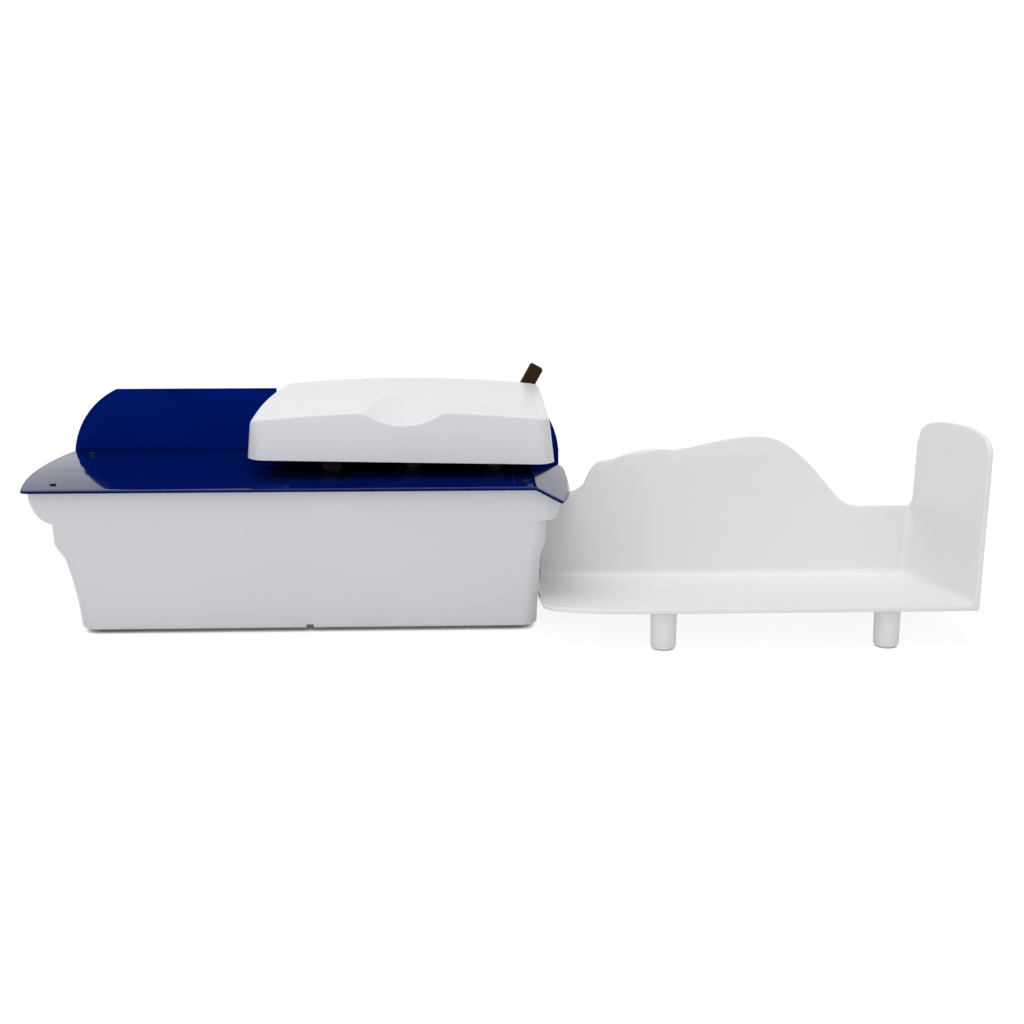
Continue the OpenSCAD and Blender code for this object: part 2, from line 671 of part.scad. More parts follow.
// Mains inlet in the rear face, with three contact blades in its socket
inlet_depth = 20;
module mains_inlet() {
    color("black") place() translate([inlet_at[0], base_depth, inlet_at[1]]) {
        difference() {
            union() {
                box([-inlet_w / 2, -inlet_depth, -inlet_h / 2], [inlet_w / 2, 0, inlet_h / 2]);
                box([-inlet_w / 2 - 3, 0, -inlet_h / 2 - 3], [inlet_w / 2 + 3, 1.5, inlet_h / 2 + 3]);
            }
            box([3 - inlet_w / 2, 3 - inlet_depth, 3 - inlet_h / 2], [inlet_w / 2 - 3, 2, inlet_h / 2 - 3]);
        }
        for (p = [[-6, -2], [0, 2], [6, -2]])
            box([p[0] - 1, 3 - inlet_depth, p[1] - 2], [p[0] + 1, -5, p[1] + 2]);
    }
}

// Power switch: a frame in the rear face and the rocker that tilts in it
rocker_tilt = 8;
rocker_depth = 5;
module switch_frame() {
    color("black") place() translate([switch_at[0], base_depth, switch_at[1]]) difference() {
        union() {
            box([-switch_w / 2, -16, -switch_h / 2], [switch_w / 2, 0, switch_h / 2]);
            box([-switch_w / 2 - 2, 0, -switch_h / 2 - 2], [switch_w / 2 + 2, 1.5, switch_h / 2 + 2]);
        }
        box([1.5 - switch_w / 2, -13, 1.5 - switch_h / 2], [switch_w / 2 - 1.5, 2, switch_h / 2 - 1.5]);
    }
}
module power_rocker() {
    w = switch_w / 2 - 1.5 - nip;
    h = switch_h / 2 - 1.5 - 1.2;
    color("black") place() translate([switch_at[0], base_depth - rocker_depth, switch_at[1]])
        rotate([rocker_tilt, 0, 0]) difference() {
            box([-w, -4, -h], [w, rocker_depth + 1, h]);
            along_x(40, 40 + rocker_depth - 0.5, 0, -w - over, w + over);
        }
}

// White housing behind the guide wall, over the cutter and the lever's foot
housing_left = -base_half - 16.5;
housing_top = deck_z + 41;
housing_t = 2.5;
lever_slot = (housing_top - lift_z) * tan(lever_tilt) + lever_w / 2 / cos(lever_tilt) + 1.5;
housing_right = max(base_half + 12, lift_x + lever_slot + housing_t + slip);
housing_r = 14;
lever_y = 273;
module housing_profile(inset, past) {
    rear = base_depth - 1 - inset;
    top = housing_top - inset;
    r = housing_r - inset;
    difference() {
        translate([wall_back - past, deck_z - past]) square([rear - wall_back + past, top - deck_z + past]);
        translate([rear - r, top - r]) difference() {
            square(housing_r);
            circle(r = r);
        }
    }
}
module rear_housing() {
    color("whitesmoke") place() difference() {
        slice_x(housing_left, housing_right) housing_profile(0, 0);
        slice_x(housing_left + housing_t, housing_right - housing_t) housing_profile(housing_t, over);
        box([lift_x - lever_slot, lever_y - 1, housing_top - 2 * housing_t],
            [lift_x + lever_slot, lever_y + lever_t + 1, housing_top + over]);
    }
}

// Cover hinge: lugs on the housing, pins through the cover's own lugs
hinge_y = 254;
hinge_z = deck_z + 55;
pin_r = 2;
lug_r = 5;
hinge_x = [-25, 190];
lug_w = 6;
module hinge_brackets() {
    color("silver") place() for (x = hinge_x) difference() {
        union() {
            along_x(lug_r, hinge_y, hinge_z, x - lug_w / 2, x + lug_w / 2);
            box([x - lug_w / 2, hinge_y - lug_r, housing_top], [x + lug_w / 2, hinge_y + lug_r, hinge_z]);
        }
        along_x(pin_r + run_fit, hinge_y, hinge_z, x - lug_w, x + lug_w);
    }
}
module hinge_pins() {
    color("silver") place() for (x = hinge_x)
        along_x(pin_r, hinge_y, hinge_z, x - lug_w / 2 - 1, x + lug_w / 2 + 7.5);
}

// Cover form: a crowned bar that rises to the rear, cut by its front, its ends and the plan of its corners
cover_draft = 5;
crease_y = cover_front + 10;
crown_half = (cover_left + cover_right) / 2 + 6;
crown_r = (crown_half * crown_half + crown_rise * crown_rise) / (2 * crown_rise);
cover_mid = (cover_right - cover_left) / 2;
crease_z = deck_z + crease_h;
front_lean = 0.217;
rear_corner_r = 14;
front_corner_r = 9;
module cover_ends(inset) {
    top = crown_rise + 1;
    low = -crease_h;
    half_left = crown_half - 6 - inset;
    lean = tan(cover_draft);
    translate([0, 2 * cover_rear, crease_z]) rotate([90, 0, 0]) linear_extrude(4 * cover_rear) intersection() {
        polygon([[cover_mid - half_left, low], [cover_mid + half_left, low],
            [cover_mid + half_left - (top - low) * lean, top], [cover_mid - half_left + (top - low) * lean, top]]);
        translate([cover_mid, crown_rise - crown_r]) circle(r = crown_r - inset, $fn = 360);
    }
}
module cover_side(inset) {
    top = 4 * crown_rise;
    slice_x(-2 * cover_left, 2 * cover_right) polygon([
        [crease_y + inset - front_lean * crease_h, deck_z], [crease_y + inset + front_lean * top, crease_z + top],
        [cover_rear - inset, crease_z + top], [cover_rear - inset, deck_z]]);
}
// Plan of the cover, its left edge turned in towards the rear
left_turn = atan(cover_taper / (wall_y - cover_front));
function arc(at, r, from, to, n) = [for (i = [0:n]) let (a = from + (to - from) * i / n) at + r * [cos(a), sin(a)]];
module cover_plan(inset) {
    left = inset / cos(left_turn) - cover_left;
    right = cover_right - inset;
    front = cover_front + inset;
    rear = cover_rear - inset;
    f = front_corner_r - inset;
    r = rear_corner_r - inset;
    lead = [left + (front + f - cover_front) * tan(left_turn) + f / cos(left_turn), front + f];
    tail = [left + (rear - r - cover_front) * tan(left_turn) + r / cos(left_turn), rear - r];
    linear_extrude(2 * deck_z) polygon(concat(
        arc(lead, f, 180 - left_turn, 270, 6), arc([right - f, front + f], f, 270, 360, 6),
        arc([right - f, rear - f], f, 0, 90, 6), arc(tail, r, 90, 180 - left_turn, 10)));
}
module cover_block(inset) {
    intersection() {
        translate([0, crease_y, 0]) rotate([cover_slope, 0, 0]) translate([0, -crease_y, 0]) cover_ends(inset);
        cover_side(inset);
        cover_plan(inset);
    }
}
// Round tool of the finger scoop, lying along the top and dipping to the front
scoop_r = (scoop_w * scoop_w / 4 + scoop_depth * scoop_depth) / (2 * scoop_depth);
module scoop(extra) {
    dip = atan(scoop_depth / scoop_len);
    translate([cover_mid, crease_y, crease_z + crown_rise - scoop_depth]) rotate([cover_slope + dip, 0, 0])
        translate([0, -crease_y, scoop_r]) rotate([-90, 0, 0]) cylinder(r = scoop_r + extra, h = 2 * cover_rear, $fn = 96);
}
module top_cover() {
    skirt_low = hinge_z - 3;
    gap_slope = atan((gap_left - gap_right) / (cover_left + cover_right));
    color("whitesmoke") place() {
        difference() {
            union() {
                difference() {
                    cover_block(0);
                    difference() {
                        cover_block(cover_wall);
                        scoop(cover_wall);
                    }
                }
                // ribs that carry the hinge pins
                intersection() {
                    cover_block(cover_wall / 2);
                    for (x = hinge_x) hinge_rib(x);
                }
            }
            scoop(0);
            for (x = hinge_x) along_x(pin_r + run_fit, hinge_y, hinge_z, x, x + lug_w + 8);
            // lower edge, sloping down to the right, and the room for the guide wall and the housing
            translate([-cover_left, 0, deck_z + gap_left]) rotate([0, gap_slope, 0])
                translate([-100, -100, -100]) cube([600, 600, 100]);
            box([-2 * cover_left, wall_y - 4, 0], [2 * cover_right, 2 * cover_rear, skirt_low]);
            // clearance of the lugs in the rear skirt
            for (x = hinge_x) box([x - lug_w / 2 - 1, hinge_y, 0],
                [x + lug_w / 2 + 1, 2 * cover_rear, hinge_z + lug_r + 1]);
        }
    }
}
module hinge_rib(x) {
    side = x + lug_w / 2 + 1;
    along_x(lug_r, hinge_y, hinge_z, side, side + 5);
    box([side, hinge_y - lug_r, hinge_z], [side + 5, hinge_y + lug_r, 2 * deck_z]);
}

// Bridge over the paper path: a channel with a rear flange on the guide wall and bores for rods and shaft
arm_z = deck_z + arm_pivot_h;
bridge_top = deck_z + 42;
bridge_t = 2;
bridge_front = front_plate_y + 6;
bridge_rear = rear_plate_y - 6;
bridge_low = lift_z - shaft_d / 2 - 4;
bridge_left = shafts_x[0] - arm_reach - 10;
bridge_end = 12;
bridge_right = lift_x + bridge_end;
bridge_cut = 16;
pivots_x = [for (x = shafts_x) x - arm_reach];
module press_bridge() {
    color("dimgray") place() difference() {
        union() {
            box([bridge_left, bridge_front, bridge_top - bridge_t], [shafts_x[2] - bridge_cut, wall_y, bridge_top]);
            box([bridge_left, wall_y - bridge_t, arm_z + 4], [shafts_x[2] - bridge_cut, wall_y, bridge_top]);
            for (y = [bridge_front, bridge_rear])
                box([bridge_left, y, bridge_low], [bridge_right, y + bridge_t, bridge_top]);
        }
        for (x = pivots_x) along_y(rod_d / 2 + run_fit, x, arm_z, bridge_front - over, bridge_rear + bridge_t + over);
        along_y(shaft_d / 2 + run_fit, lift_x, lift_z, bridge_front - over, bridge_rear + bridge_t + over);
    }
}
module arm_rods() {
    color("silver") place() for (x = pivots_x)
        along_y(rod_d / 2, x, arm_z, bridge_front - 2, bridge_rear + bridge_t + 2);
}

// Press arm: a hub on the rod, two side plates and the axle of the rollers between them
press_z = deck_z + tyre_proud + nip + press_r;
arm_t = 2;
arm_front = tyre_rows[0] - tyre_w / 2 - 3;
arm_rear = tyre_rows[1] + tyre_w / 2 + 3;
axle_r = 2.5;
module arm_outline(x) {
    drop = press_z - arm_z;
    lean = atan(drop / arm_reach);
    translate([x - arm_reach, arm_z]) circle(r = 6.5);
    translate([x, press_z]) circle(r = 5);
    translate([x - arm_reach, arm_z]) rotate(lean) translate([0, -4]) square([arm_reach / cos(lean), 8]);
}
module arm_body(x, plates_y) {
    difference() {
        union() {
            for (y = plates_y) slice_y(y, y + arm_t) arm_outline(x);
            along_y(6.5, x - arm_reach, arm_z, bridge_front + bridge_t + nip, bridge_rear - nip);
            children();
        }
        along_y(rod_d / 2 + run_fit, x - arm_reach, arm_z, bridge_front - over, bridge_rear + over);
    }
}
module roller_axle(x) along_y(axle_r, x, press_z, arm_front, arm_rear + arm_t);
module press_rollers(x) for (y = tyre_rows) difference() {
    along_y(press_r, x, press_z, y - tyre_w / 2 + 2, y + tyre_w / 2 - 2);
    along_y(axle_r + run_fit, x, press_z, y - tyre_w, y + tyre_w);
}
module separator_arm() {
    color("dimgray") place() arm_body(shafts_x[0], [arm_front, arm_rear])
        box([shafts_x[0] - 9, arm_front, press_z], [shafts_x[0] + 9, arm_rear + arm_t, press_z + 3]);
}
// Rubber pads under the separator arm, hollowed to follow the tyres
module separator_pads() {
    color("saddlebrown") place() difference() {
        for (y = tyre_rows) box([shafts_x[0] - 9, y - tyre_w / 2 + 1, deck_z + 1],
            [shafts_x[0] + 9, y + tyre_w / 2 - 1, press_z]);
        along_y(tyre_r + nip, shafts_x[0], shaft_z, arm_front, arm_rear);
    }
}
module feed_press_arm() color("dimgray") place() arm_body(shafts_x[1], [arm_front, arm_rear]) roller_axle(shafts_x[1]);
module feed_press_rollers() color("gray") place() press_rollers(shafts_x[1]);
// The exit arm has a tail over the lift cams
cam_throw = 9;
cam_r = 3;
cam_rest = 32;
tail_low = lift_z + cam_throw * sin(cam_rest) + cam_r + 0.4;
module exit_press_arm() {
    x = shafts_x[2];
    color("dimgray") place() arm_body(x, [arm_front, arm_rear]) {
        roller_axle(x);
        for (y = [arm_front, arm_rear])
            box([x - arm_reach, y, tail_low], [lift_x + 7, y + arm_t, tail_low + 5]);
    }
}
module exit_press_rollers() color("gray") place() press_rollers(shafts_x[2]);

// Lift shaft with two cams, turned by the lever at the rear
module lift_shaft() {
    color("silver") place() along_y(shaft_d / 2, lift_x, lift_z, bridge_front - 2, lever_y + lever_t + 2);
}
module lift_cams() {
    color("gray") place() difference() {
        for (y = [arm_front, arm_rear]) slice_y(y - 2, y + arm_t + 2) translate([lift_x, lift_z]) {
            circle(r = shaft_d / 2 + 1.5);
            rotate(cam_rest) {
                translate([0, -cam_r]) square([cam_throw, 2 * cam_r]);
                translate([cam_throw, 0]) circle(r = cam_r);
            }
        }
        along_y(shaft_d / 2 + run_fit, lift_x, lift_z, arm_front - 5, arm_rear + 5);
    }
}
// Dark lever: a hub on the lift shaft and a flat bar with a chamfered end
module gap_lever() {
    chamfer = 1.5;
    color("#2a1e0c") place() difference() {
        slice_y(lever_y, lever_y + lever_t) translate([lift_x, lift_z]) {
            circle(r = shaft_d / 2 + 4);
            rotate(-lever_tilt) polygon([[-lever_w / 2, 0], [lever_w / 2, 0], [lever_w / 2, lever_len - chamfer],
                [lever_w / 2 - chamfer, lever_len], [chamfer - lever_w / 2, lever_len],
                [-lever_w / 2, lever_len - chamfer]]);
        }
        along_y(shaft_d / 2 + run_fit, lift_x, lift_z, lever_y - over, lever_y + lever_t + over);
    }
}

// Receiving tray, drawn flat from the floor's front left corner and then tilted back
module tray_place() {
    place() translate([tray_x, -tray_front, tray_front_z]) rotate([-tray_tilt, 0, 0]) children();
}
// The tray's walls and floor run this far into each other
seam = tray_wall / 2;
tray_rear = tray_depth + tray_wall;
// Floor outline with its rounded front left corner
module tray_floor() {
    polygon(concat(curve([[0, 56], [0, 20], [32, 4], [88, 0]], 10),
        [[tray_len + seam, 0], [tray_len + seam, tray_depth + seam], [0, tray_depth + seam]]));
}
// Back wall outline: a rise behind the ramp, a sloping brow, a hump and a low end
tray_back_left = 7;
brow = [[72, tray_hump - 24.5], [160, tray_hump - 12]];
module tray_back() {
    top = tray_hump;
    end = tray_len + seam + slip;
    polygon(concat([[end, slip - tray_wall], [tray_back_left, slip - tray_wall]],
        curve([[tray_back_left, top - 75], [tray_back_left, top - 58], [46, top - 62], [54, top - 48]], 6),
        curve([[54, top - 48], [59, top - 36], [63, top - 27], brow[0]], 5),
        curve([brow[1], [178, top - 9], [205, top], [236, top]], 8),
        curve([[236, top], [262, top], [275, top - 13], [294, top - 31]], 8),
        curve([[294, top - 31], [318, top - 58], [325, tray_low], [344, tray_low]], 8),
        [[end + tray_low * tan(tray_lean), tray_low]]));
}
// End wall outline: an arch that is highest a little behind its middle
module tray_end() {
    h = tray_end_h;
    rear = tray_rear + slip;
    mid = 0.6 * tray_depth;
    low = slip - tray_wall;
    polygon(concat([[rear, low], [slip, low]],
        curve([[slip, h - 26], [slip, h - 6], [60, h], [mid, h]], 12),
        curve([[mid, h], [0.84 * tray_depth, h], [rear, h - 3], [rear, h - 26]], 12)));
}
// Thin ear on the brow of the back wall, bent away to the rear
ear_h = 10;
ear_bend = 35;
ear_root = 4;
ear_inset = 4;
module tray_ear() {
    rise = brow[1] - brow[0];
    span = norm(rise) - 2 * ear_inset;
    r = (span * span / 4 + ear_h * ear_h) / (2 * ear_h);
    translate([brow[0][0], tray_rear - slip, brow[0][1] - ear_root]) rotate([0, -atan2(rise[1], rise[0]), 0])
        translate([ear_inset, 0, 0]) rotate([-ear_bend, 0, 0]) slice_y(-tray_wall, 0) intersection() {
            square([span, 2 * ear_h]);
            translate([span / 2, ear_h - r]) circle(r = r, $fn = 128);
        }
}
fillet_r = 8;
module tray_shell() {
    color("whitesmoke") tray_place() {
        translate([0, 0, -tray_wall]) linear_extrude(tray_wall) tray_floor();
        slice_y(tray_depth, tray_rear) tray_back();
        tray_ear();
        translate([tray_len, 0, 0]) rotate([0, tray_lean, 0]) slice_x(0, tray_wall) tray_end();
        slice_x(tray_back_left + over, tray_len + over) translate([tray_depth - fillet_r, fillet_r]) polygon(concat(
            [[fillet_r + over, -fillet_r - over], [0, -fillet_r - over]], arc([0, 0], fillet_r - nip, 270, 360, 8),
            [[fillet_r + over, 0]]));
    }
}

// Room below the tilted floor, in the tray's own place
module below_tray() {
    tray_place() translate([-tray_len, -tray_depth, -tray_wall - 200]) cube([3 * tray_len, 3 * tray_depth, 200]);
}
leg_at = [111, 321];
leg_y = 18;
leg_round = 4;
module tray_front_legs() {
    color("whitesmoke") intersection() {
        place() for (x = leg_at) translate([tray_x + x, leg_y - tray_front, 0]) rotate_extrude()
            polygon(concat([[0, 0]],
                [for (a = [0:4]) [leg_r - 0.7 - leg_round + leg_round * sin(22.5 * a), leg_round * (1 - cos(22.5 * a))]],
                [[leg_r, tray_front_z], [0, tray_front_z]]));
        below_tray();
    }
}
module tray_rear_feet() {
    color("whitesmoke") intersection() {
        place() for (x = leg_at) translate([tray_x + x, tray_depth - tray_front - 22, 0]) cylinder(r1 = 9, r2 = 10, h = tray_front_z);
        below_tray();
    }
}

base_tub();
base_plate();
rubber_feet();
base_screws();
deck_plate();
guide_wall();
deck_screws();
front_bearing_plate();
rear_bearing_plate();
shaft_bushes();
feed_motor();
motor_bracket();
drive_belt();
transfer_belt();
motor_pulley();
pick_shaft();
pick_tyres();
pick_pulley();
feed_shaft();
feed_tyres();
feed_pulleys();
exit_shaft();
exit_tyres();
exit_pulley();
cutter_motor();
cutter_bracket();
cutter_head();
chip_chute();
drawer_rails();
chip_drawer();
control_board();
mains_inlet();
switch_frame();
power_rocker();
rear_housing();
hinge_brackets();
top_cover();
hinge_pins();
press_bridge();
arm_rods();
separator_arm();
separator_pads();
feed_press_arm();
feed_press_rollers();
exit_press_arm();
exit_press_rollers();
lift_shaft();
lift_cams();
gap_lever();
tray_shell();
tray_front_legs();
tray_rear_feet();
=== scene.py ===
import math

import bmesh
import bpy
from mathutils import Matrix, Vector


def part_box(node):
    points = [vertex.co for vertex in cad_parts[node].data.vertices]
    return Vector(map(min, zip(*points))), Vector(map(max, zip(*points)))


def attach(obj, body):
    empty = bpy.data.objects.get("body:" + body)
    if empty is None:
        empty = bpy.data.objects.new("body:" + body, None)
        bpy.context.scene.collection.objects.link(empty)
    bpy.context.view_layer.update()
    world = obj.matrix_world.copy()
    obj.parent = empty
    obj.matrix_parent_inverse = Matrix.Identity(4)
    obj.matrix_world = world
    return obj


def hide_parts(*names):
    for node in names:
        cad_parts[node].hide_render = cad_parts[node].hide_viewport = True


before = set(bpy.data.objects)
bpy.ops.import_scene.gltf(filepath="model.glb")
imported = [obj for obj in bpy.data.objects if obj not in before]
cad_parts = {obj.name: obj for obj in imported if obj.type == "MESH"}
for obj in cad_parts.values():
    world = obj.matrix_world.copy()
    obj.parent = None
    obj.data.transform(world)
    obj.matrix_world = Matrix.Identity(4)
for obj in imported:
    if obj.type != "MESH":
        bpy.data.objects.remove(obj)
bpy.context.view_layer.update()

# --------------------------------------------------------------------------------------------------
# Base tub: one injection-moulded shell of glossy white plastic, open above and below, that carries all else.
# Its sides rise from a slanted foot over a step and an upright band to the grip ledge below the deck.
# Lengths here are millimetres from the middle of the base and the deck's front edge, up from the table.
MM = 0.001
foot_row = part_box("rubber_feet")
home = Vector(((foot_row[0].x + foot_row[1].x) / 2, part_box("deck_plate")[0].y, 0))


def take(piece):
    """Leaves one piece selected and active."""
    bpy.ops.object.select_all(action="DESELECT")
    piece.select_set(True)
    bpy.context.view_layer.objects.active = piece


def open_up(name):
    """Names the primitive that was just added and opens it for editing, all selected."""
    piece = bpy.context.object
    piece.name = piece.data.name = name
    bpy.ops.object.mode_set(mode="EDIT")
    bpy.ops.mesh.select_all(action="SELECT")
    return piece


def close_up():
    """Ends the editing of a piece."""
    bpy.ops.object.mode_set(mode="OBJECT")


def plate(name, low, high, z):
    """Adds a flat plane between two corners at a height and opens it for editing."""
    bpy.ops.object.select_all(action="DESELECT")
    bpy.ops.mesh.primitive_plane_add(size=1)
    piece = open_up(name)
    bpy.ops.transform.resize(value=(high[0] - low[0], high[1] - low[1], 1), center_override=(0, 0, 0))
    bpy.ops.transform.translate(value=((low[0] + high[0]) / 2, (low[1] + high[1]) / 2, z))
    return piece


def block(name, low, high):
    """Adds a box between two corners and opens it for editing."""
    bpy.ops.object.select_all(action="DESELECT")
    bpy.ops.mesh.primitive_cube_add(size=1)
    piece = open_up(name)
    bpy.ops.transform.resize(value=[b - a for a, b in zip(low, high)], center_override=(0, 0, 0))
    bpy.ops.transform.translate(value=[(a + b) / 2 for a, b in zip(low, high)])
    return piece


def pick(piece, kind, test):
    """Selects the corners, edges or faces of which every corner passes the test."""
    bpy.ops.mesh.select_mode(type=kind)
    bpy.ops.mesh.select_all(action="DESELECT")
    form = bmesh.from_edit_mesh(piece.data)
    if kind == "VERT":
        found = [v for v in form.verts if test(v.co)]
    else:
        found = [e for e in (form.edges if kind == "EDGE" else form.faces) if all(test(v.co) for v in e.verts)]
    for element in found:
        element.select_set(True)
    form.select_flush_mode()
    bmesh.update_edit_mesh(piece.data)


def work(piece, kind, **settings):
    """Puts one modifier on a piece and applies it."""
    take(piece)
    step = piece.modifiers.new(kind, kind)
    for key, value in settings.items():
        setattr(step, key, value)
    bpy.ops.object.modifier_apply(modifier=step.name)


def cut(piece, tool):
    """Cuts a tool's shape out of a piece and throws the tool away."""
    close_up()
    work(piece, "BOOLEAN", operation="DIFFERENCE", object=tool, solver="EXACT")
    bpy.data.objects.remove(tool, do_unlink=True)


SMOOTH = math.radians(35)


def settle(piece, finish):
    """Brings a piece from millimetres to its place in the frame, smooths it and gives it its finish."""
    take(piece)
    piece.scale = (MM, MM, MM)
    piece.location = home
    bpy.ops.object.transform_apply(location=True, rotation=True, scale=True)
    bpy.ops.object.shade_smooth_by_angle(angle=SMOOTH)
    piece.data.materials.clear()
    piece.data.materials.append(finish)


def tone(code):
    """Linear colour of a six-figure colour code."""
    parts = [int(code[i:i + 2], 16) / 255 for i in (0, 2, 4)]
    return [p / 12.92 if p < 0.04045 else ((p + 0.055) / 1.055) ** 2.4 for p in parts] + [1]


def coating(name, tones, drift, rough, grain, relief, run=(1, 1, 1)):
    """A finish whose colour drifts between two tones, with a fine grain in its gloss and its relief.
    drift and grain are lengths in millimetres, relief the height of the grain, and run draws the grain out."""
    finish = bpy.data.materials.new(name)
    finish.use_nodes = True
    nodes, links = finish.node_tree.nodes, finish.node_tree.links
    shader = nodes["Principled BSDF"]
    place = nodes.new("ShaderNodeTexCoord")
    lay = nodes.new("ShaderNodeMapping")
    lay.inputs["Scale"].default_value = run
    links.new(place.outputs["Object"], lay.inputs["Vector"])
    cloud = nodes.new("ShaderNodeTexNoise")
    cloud.inputs["Scale"].default_value = 1 / (drift * MM)
    cloud.inputs["Detail"].default_value = 4
    links.new(lay.outputs["Vector"], cloud.inputs["Vector"])
    tint = nodes.new("ShaderNodeValToRGB")
    for mark, at, code in zip(tint.color_ramp.elements, (0.3, 0.7), tones):
        mark.position = at
        mark.color = tone(code)
    links.new(cloud.outputs["Fac"], tint.inputs["Fac"])
    links.new(tint.outputs["Color"], shader.inputs["Base Color"])
    fine = nodes.new("ShaderNodeTexNoise")
    fine.inputs["Scale"].default_value = 1 / (grain * MM)
    fine.inputs["Detail"].default_value = 2
    links.new(lay.outputs["Vector"], fine.inputs["Vector"])
    gloss = nodes.new("ShaderNodeMapRange")
    gloss.inputs["From Min"].default_value = 0.3
    gloss.inputs["From Max"].default_value = 0.7
    gloss.inputs["To Min"].default_value = rough[0]
    gloss.inputs["To Max"].default_value = rough[1]
    links.new(fine.outputs["Fac"], gloss.inputs["Value"])
    links.new(gloss.outputs["Result"], shader.inputs["Roughness"])
    bump = nodes.new("ShaderNodeBump")
    bump.inputs["Strength"].default_value = 1
    bump.inputs["Distance"].default_value = relief * MM
    links.new(fine.outputs["Fac"], bump.inputs["Height"])
    links.new(bump.outputs["Normal"], shader.inputs["Normal"])
    return finish


def tune(finish, socket, value):
    """Sets one more value of a finish."""
    finish.node_tree.nodes["Principled BSDF"].inputs[socket].default_value = value


white = coating("white_plastic", ("e1e1e3", "e5e5e7"), 160, (0.29, 0.31), 0.8, 0.001)
# The base's plastic is the cover's white painted a little darker: painted shade, for the shade below the deck's
# overhang.
shaded_base_white = coating("base_plastic_painted_shade", ("dcdcdf", "e0e0e3"), 160, (0.29, 0.31), 0.8, 0.001)
for plastic in (white, shaded_base_white):
    tune(plastic, "Specular IOR Level", 0.42)

# Heights of the rim, the slant, the step, the ledge and the top, and the plan of the foot
rim_z, slant_z, slant_top, step_top, ledge_z, tub_top = 4, 8, 71, 94, 113, 146
half_width, foot_front, rear_y, foot_corner, tub_wall = 220, 41, 330, 13.5, 3
# A side's reach past the foot at the slant, the band and the ledge, the ledge's rise, whether it is square
left_side, right_side = (7.5, 17.5, 37.5, 31, False), (2, 7, 22.5, 21, True)
rear_side, slant_bow = (0, 0, 0, 25, False), 1.8
# A square ledge jumps out by a share of its reach over a share of its rise
square_jump, square_rise = 0.6, 0.08
# The front is one sweep; the lip for the base plate lies inside the rim, a little higher, drawn in at the ends
front_out, front_sweep = 32, 1.2
rim_w, lip_up, lip_w, lip_draw = 3.5, 2.5, 14, 0.98


def share(z, low, high):
    """How far a height is from low to high, between 0 and 1."""
    return min(1, max(0, (z - low) / (high - low)))


def tucked(z):
    """How far the rounded foot stands back at a height."""
    edge_r = slant_z - rim_z
    return edge_r - math.sqrt(edge_r ** 2 - max(0, slant_z - z) ** 2)


def reach(z, slant, band, ledge, rise, square):
    """How far a stepped side of the tub stands out past its foot at a height."""
    step = share(z, slant_top, step_top)
    up = share(z, ledge_z, ledge_z + rise)
    swell = math.sqrt(1 - (1 - up) ** 2)
    if square:
        swell = square_jump * min(1, up / square_rise) ** 0.5 + (1 - square_jump) * up
    return (slant * share(z, slant_z, slant_top) ** slant_bow - tucked(z)
            + (band - slant) * step ** 2 * (3 - 2 * step) + (ledge - band) * swell)


def tub_sides(z):
    """Left, right, front and rear of the tub at a height; the front is one smooth sweep."""
    swept = front_out * (1 - (1 - share(z, slant_z, tub_top)) ** front_sweep)
    return (-half_width - reach(z, *left_side), half_width + reach(z, *right_side),
            foot_front - swept + tucked(z), rear_y + reach(z, *rear_side))


levels = [rim_z + (slant_z - rim_z) * (1 - math.cos(math.radians(15 * k))) for k in range(7)]
levels += [slant_z + (slant_top - slant_z) * k / 10 for k in range(1, 11)]
levels += [slant_top + (step_top - slant_top) * k / 8 for k in range(1, 9)]
levels += [ledge_z + (tub_top - 2 - ledge_z) * (1 - math.cos(math.radians(7.5 * k))) for k in range(13)]
levels += [tub_top]
left, right, front, rear = tub_sides(rim_z)
tub = plate("tub", (left, front), (right, rear), rim_z)
bpy.ops.mesh.bevel(offset=foot_corner, segments=8, affect="VERTICES")
for low, high in zip(levels, levels[1:]):
    a, b = tub_sides(low), tub_sides(high)
    middle = ((b[0] + b[1]) / 2, (b[2] + b[3]) / 2, high)
    lift = (middle[0] - (a[0] + a[1]) / 2, middle[1] - (a[2] + a[3]) / 2, high - low)
    bpy.ops.mesh.extrude_region_move(TRANSFORM_OT_translate={"value": lift})
    bpy.ops.transform.resize(value=((b[1] - b[0]) / (a[1] - a[0]), (b[3] - b[2]) / (a[3] - a[2]), 1),
                             center_override=middle)
bpy.ops.mesh.delete(type="FACE")
pick(tub, "FACE", lambda p: p.z < rim_z + 0.01)
bpy.ops.mesh.inset(thickness=rim_w)
bpy.ops.transform.resize(value=(lip_draw, 1, 1), center_override=(0, 0, rim_z))
bpy.ops.mesh.extrude_region_move(TRANSFORM_OT_translate={"value": (0, 0, lip_up)})
bpy.ops.mesh.inset(thickness=lip_w)
bpy.ops.mesh.delete(type="FACE")
bpy.ops.mesh.select_all(action="SELECT")
bpy.ops.mesh.normals_make_consistent(inside=False)
close_up()
work(tub, "SOLIDIFY", thickness=tub_wall, offset=-1, use_even_offset=True)
# The top's right end slopes below the ramp; then a notch in the front rim and the windows in the rear wall
ramp_fall, bed_x, bed_end = math.radians(28), 216, 238.5
bed = block("ramp_bed", (0, -10, 0), (120, bed_end, 90))
bpy.ops.transform.rotate(value=-ramp_fall, orient_axis="Y", center_override=(0, 0, 0))
bpy.ops.transform.translate(value=(bed_x, 0, tub_top))
cut(tub, bed)
openings = (("rim_notch", (-3.5, 0, 0), (3.5, 55, 8)),
            ("drawer_window", (39.5, 321, 9.5), (190.5, 340, 62.5)),
            ("inlet_window", (-163.7, 320, 39.8), (-136.3, 340, 60.2)),
            ("switch_window", (-107.2, 320, 38.8), (-92.8, 340, 61.2)))
for name, low, high in openings:
    cut(tub, block(name, low, high))
settle(tub, shaded_base_white)
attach(tub, "machine")
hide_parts("base_tub")

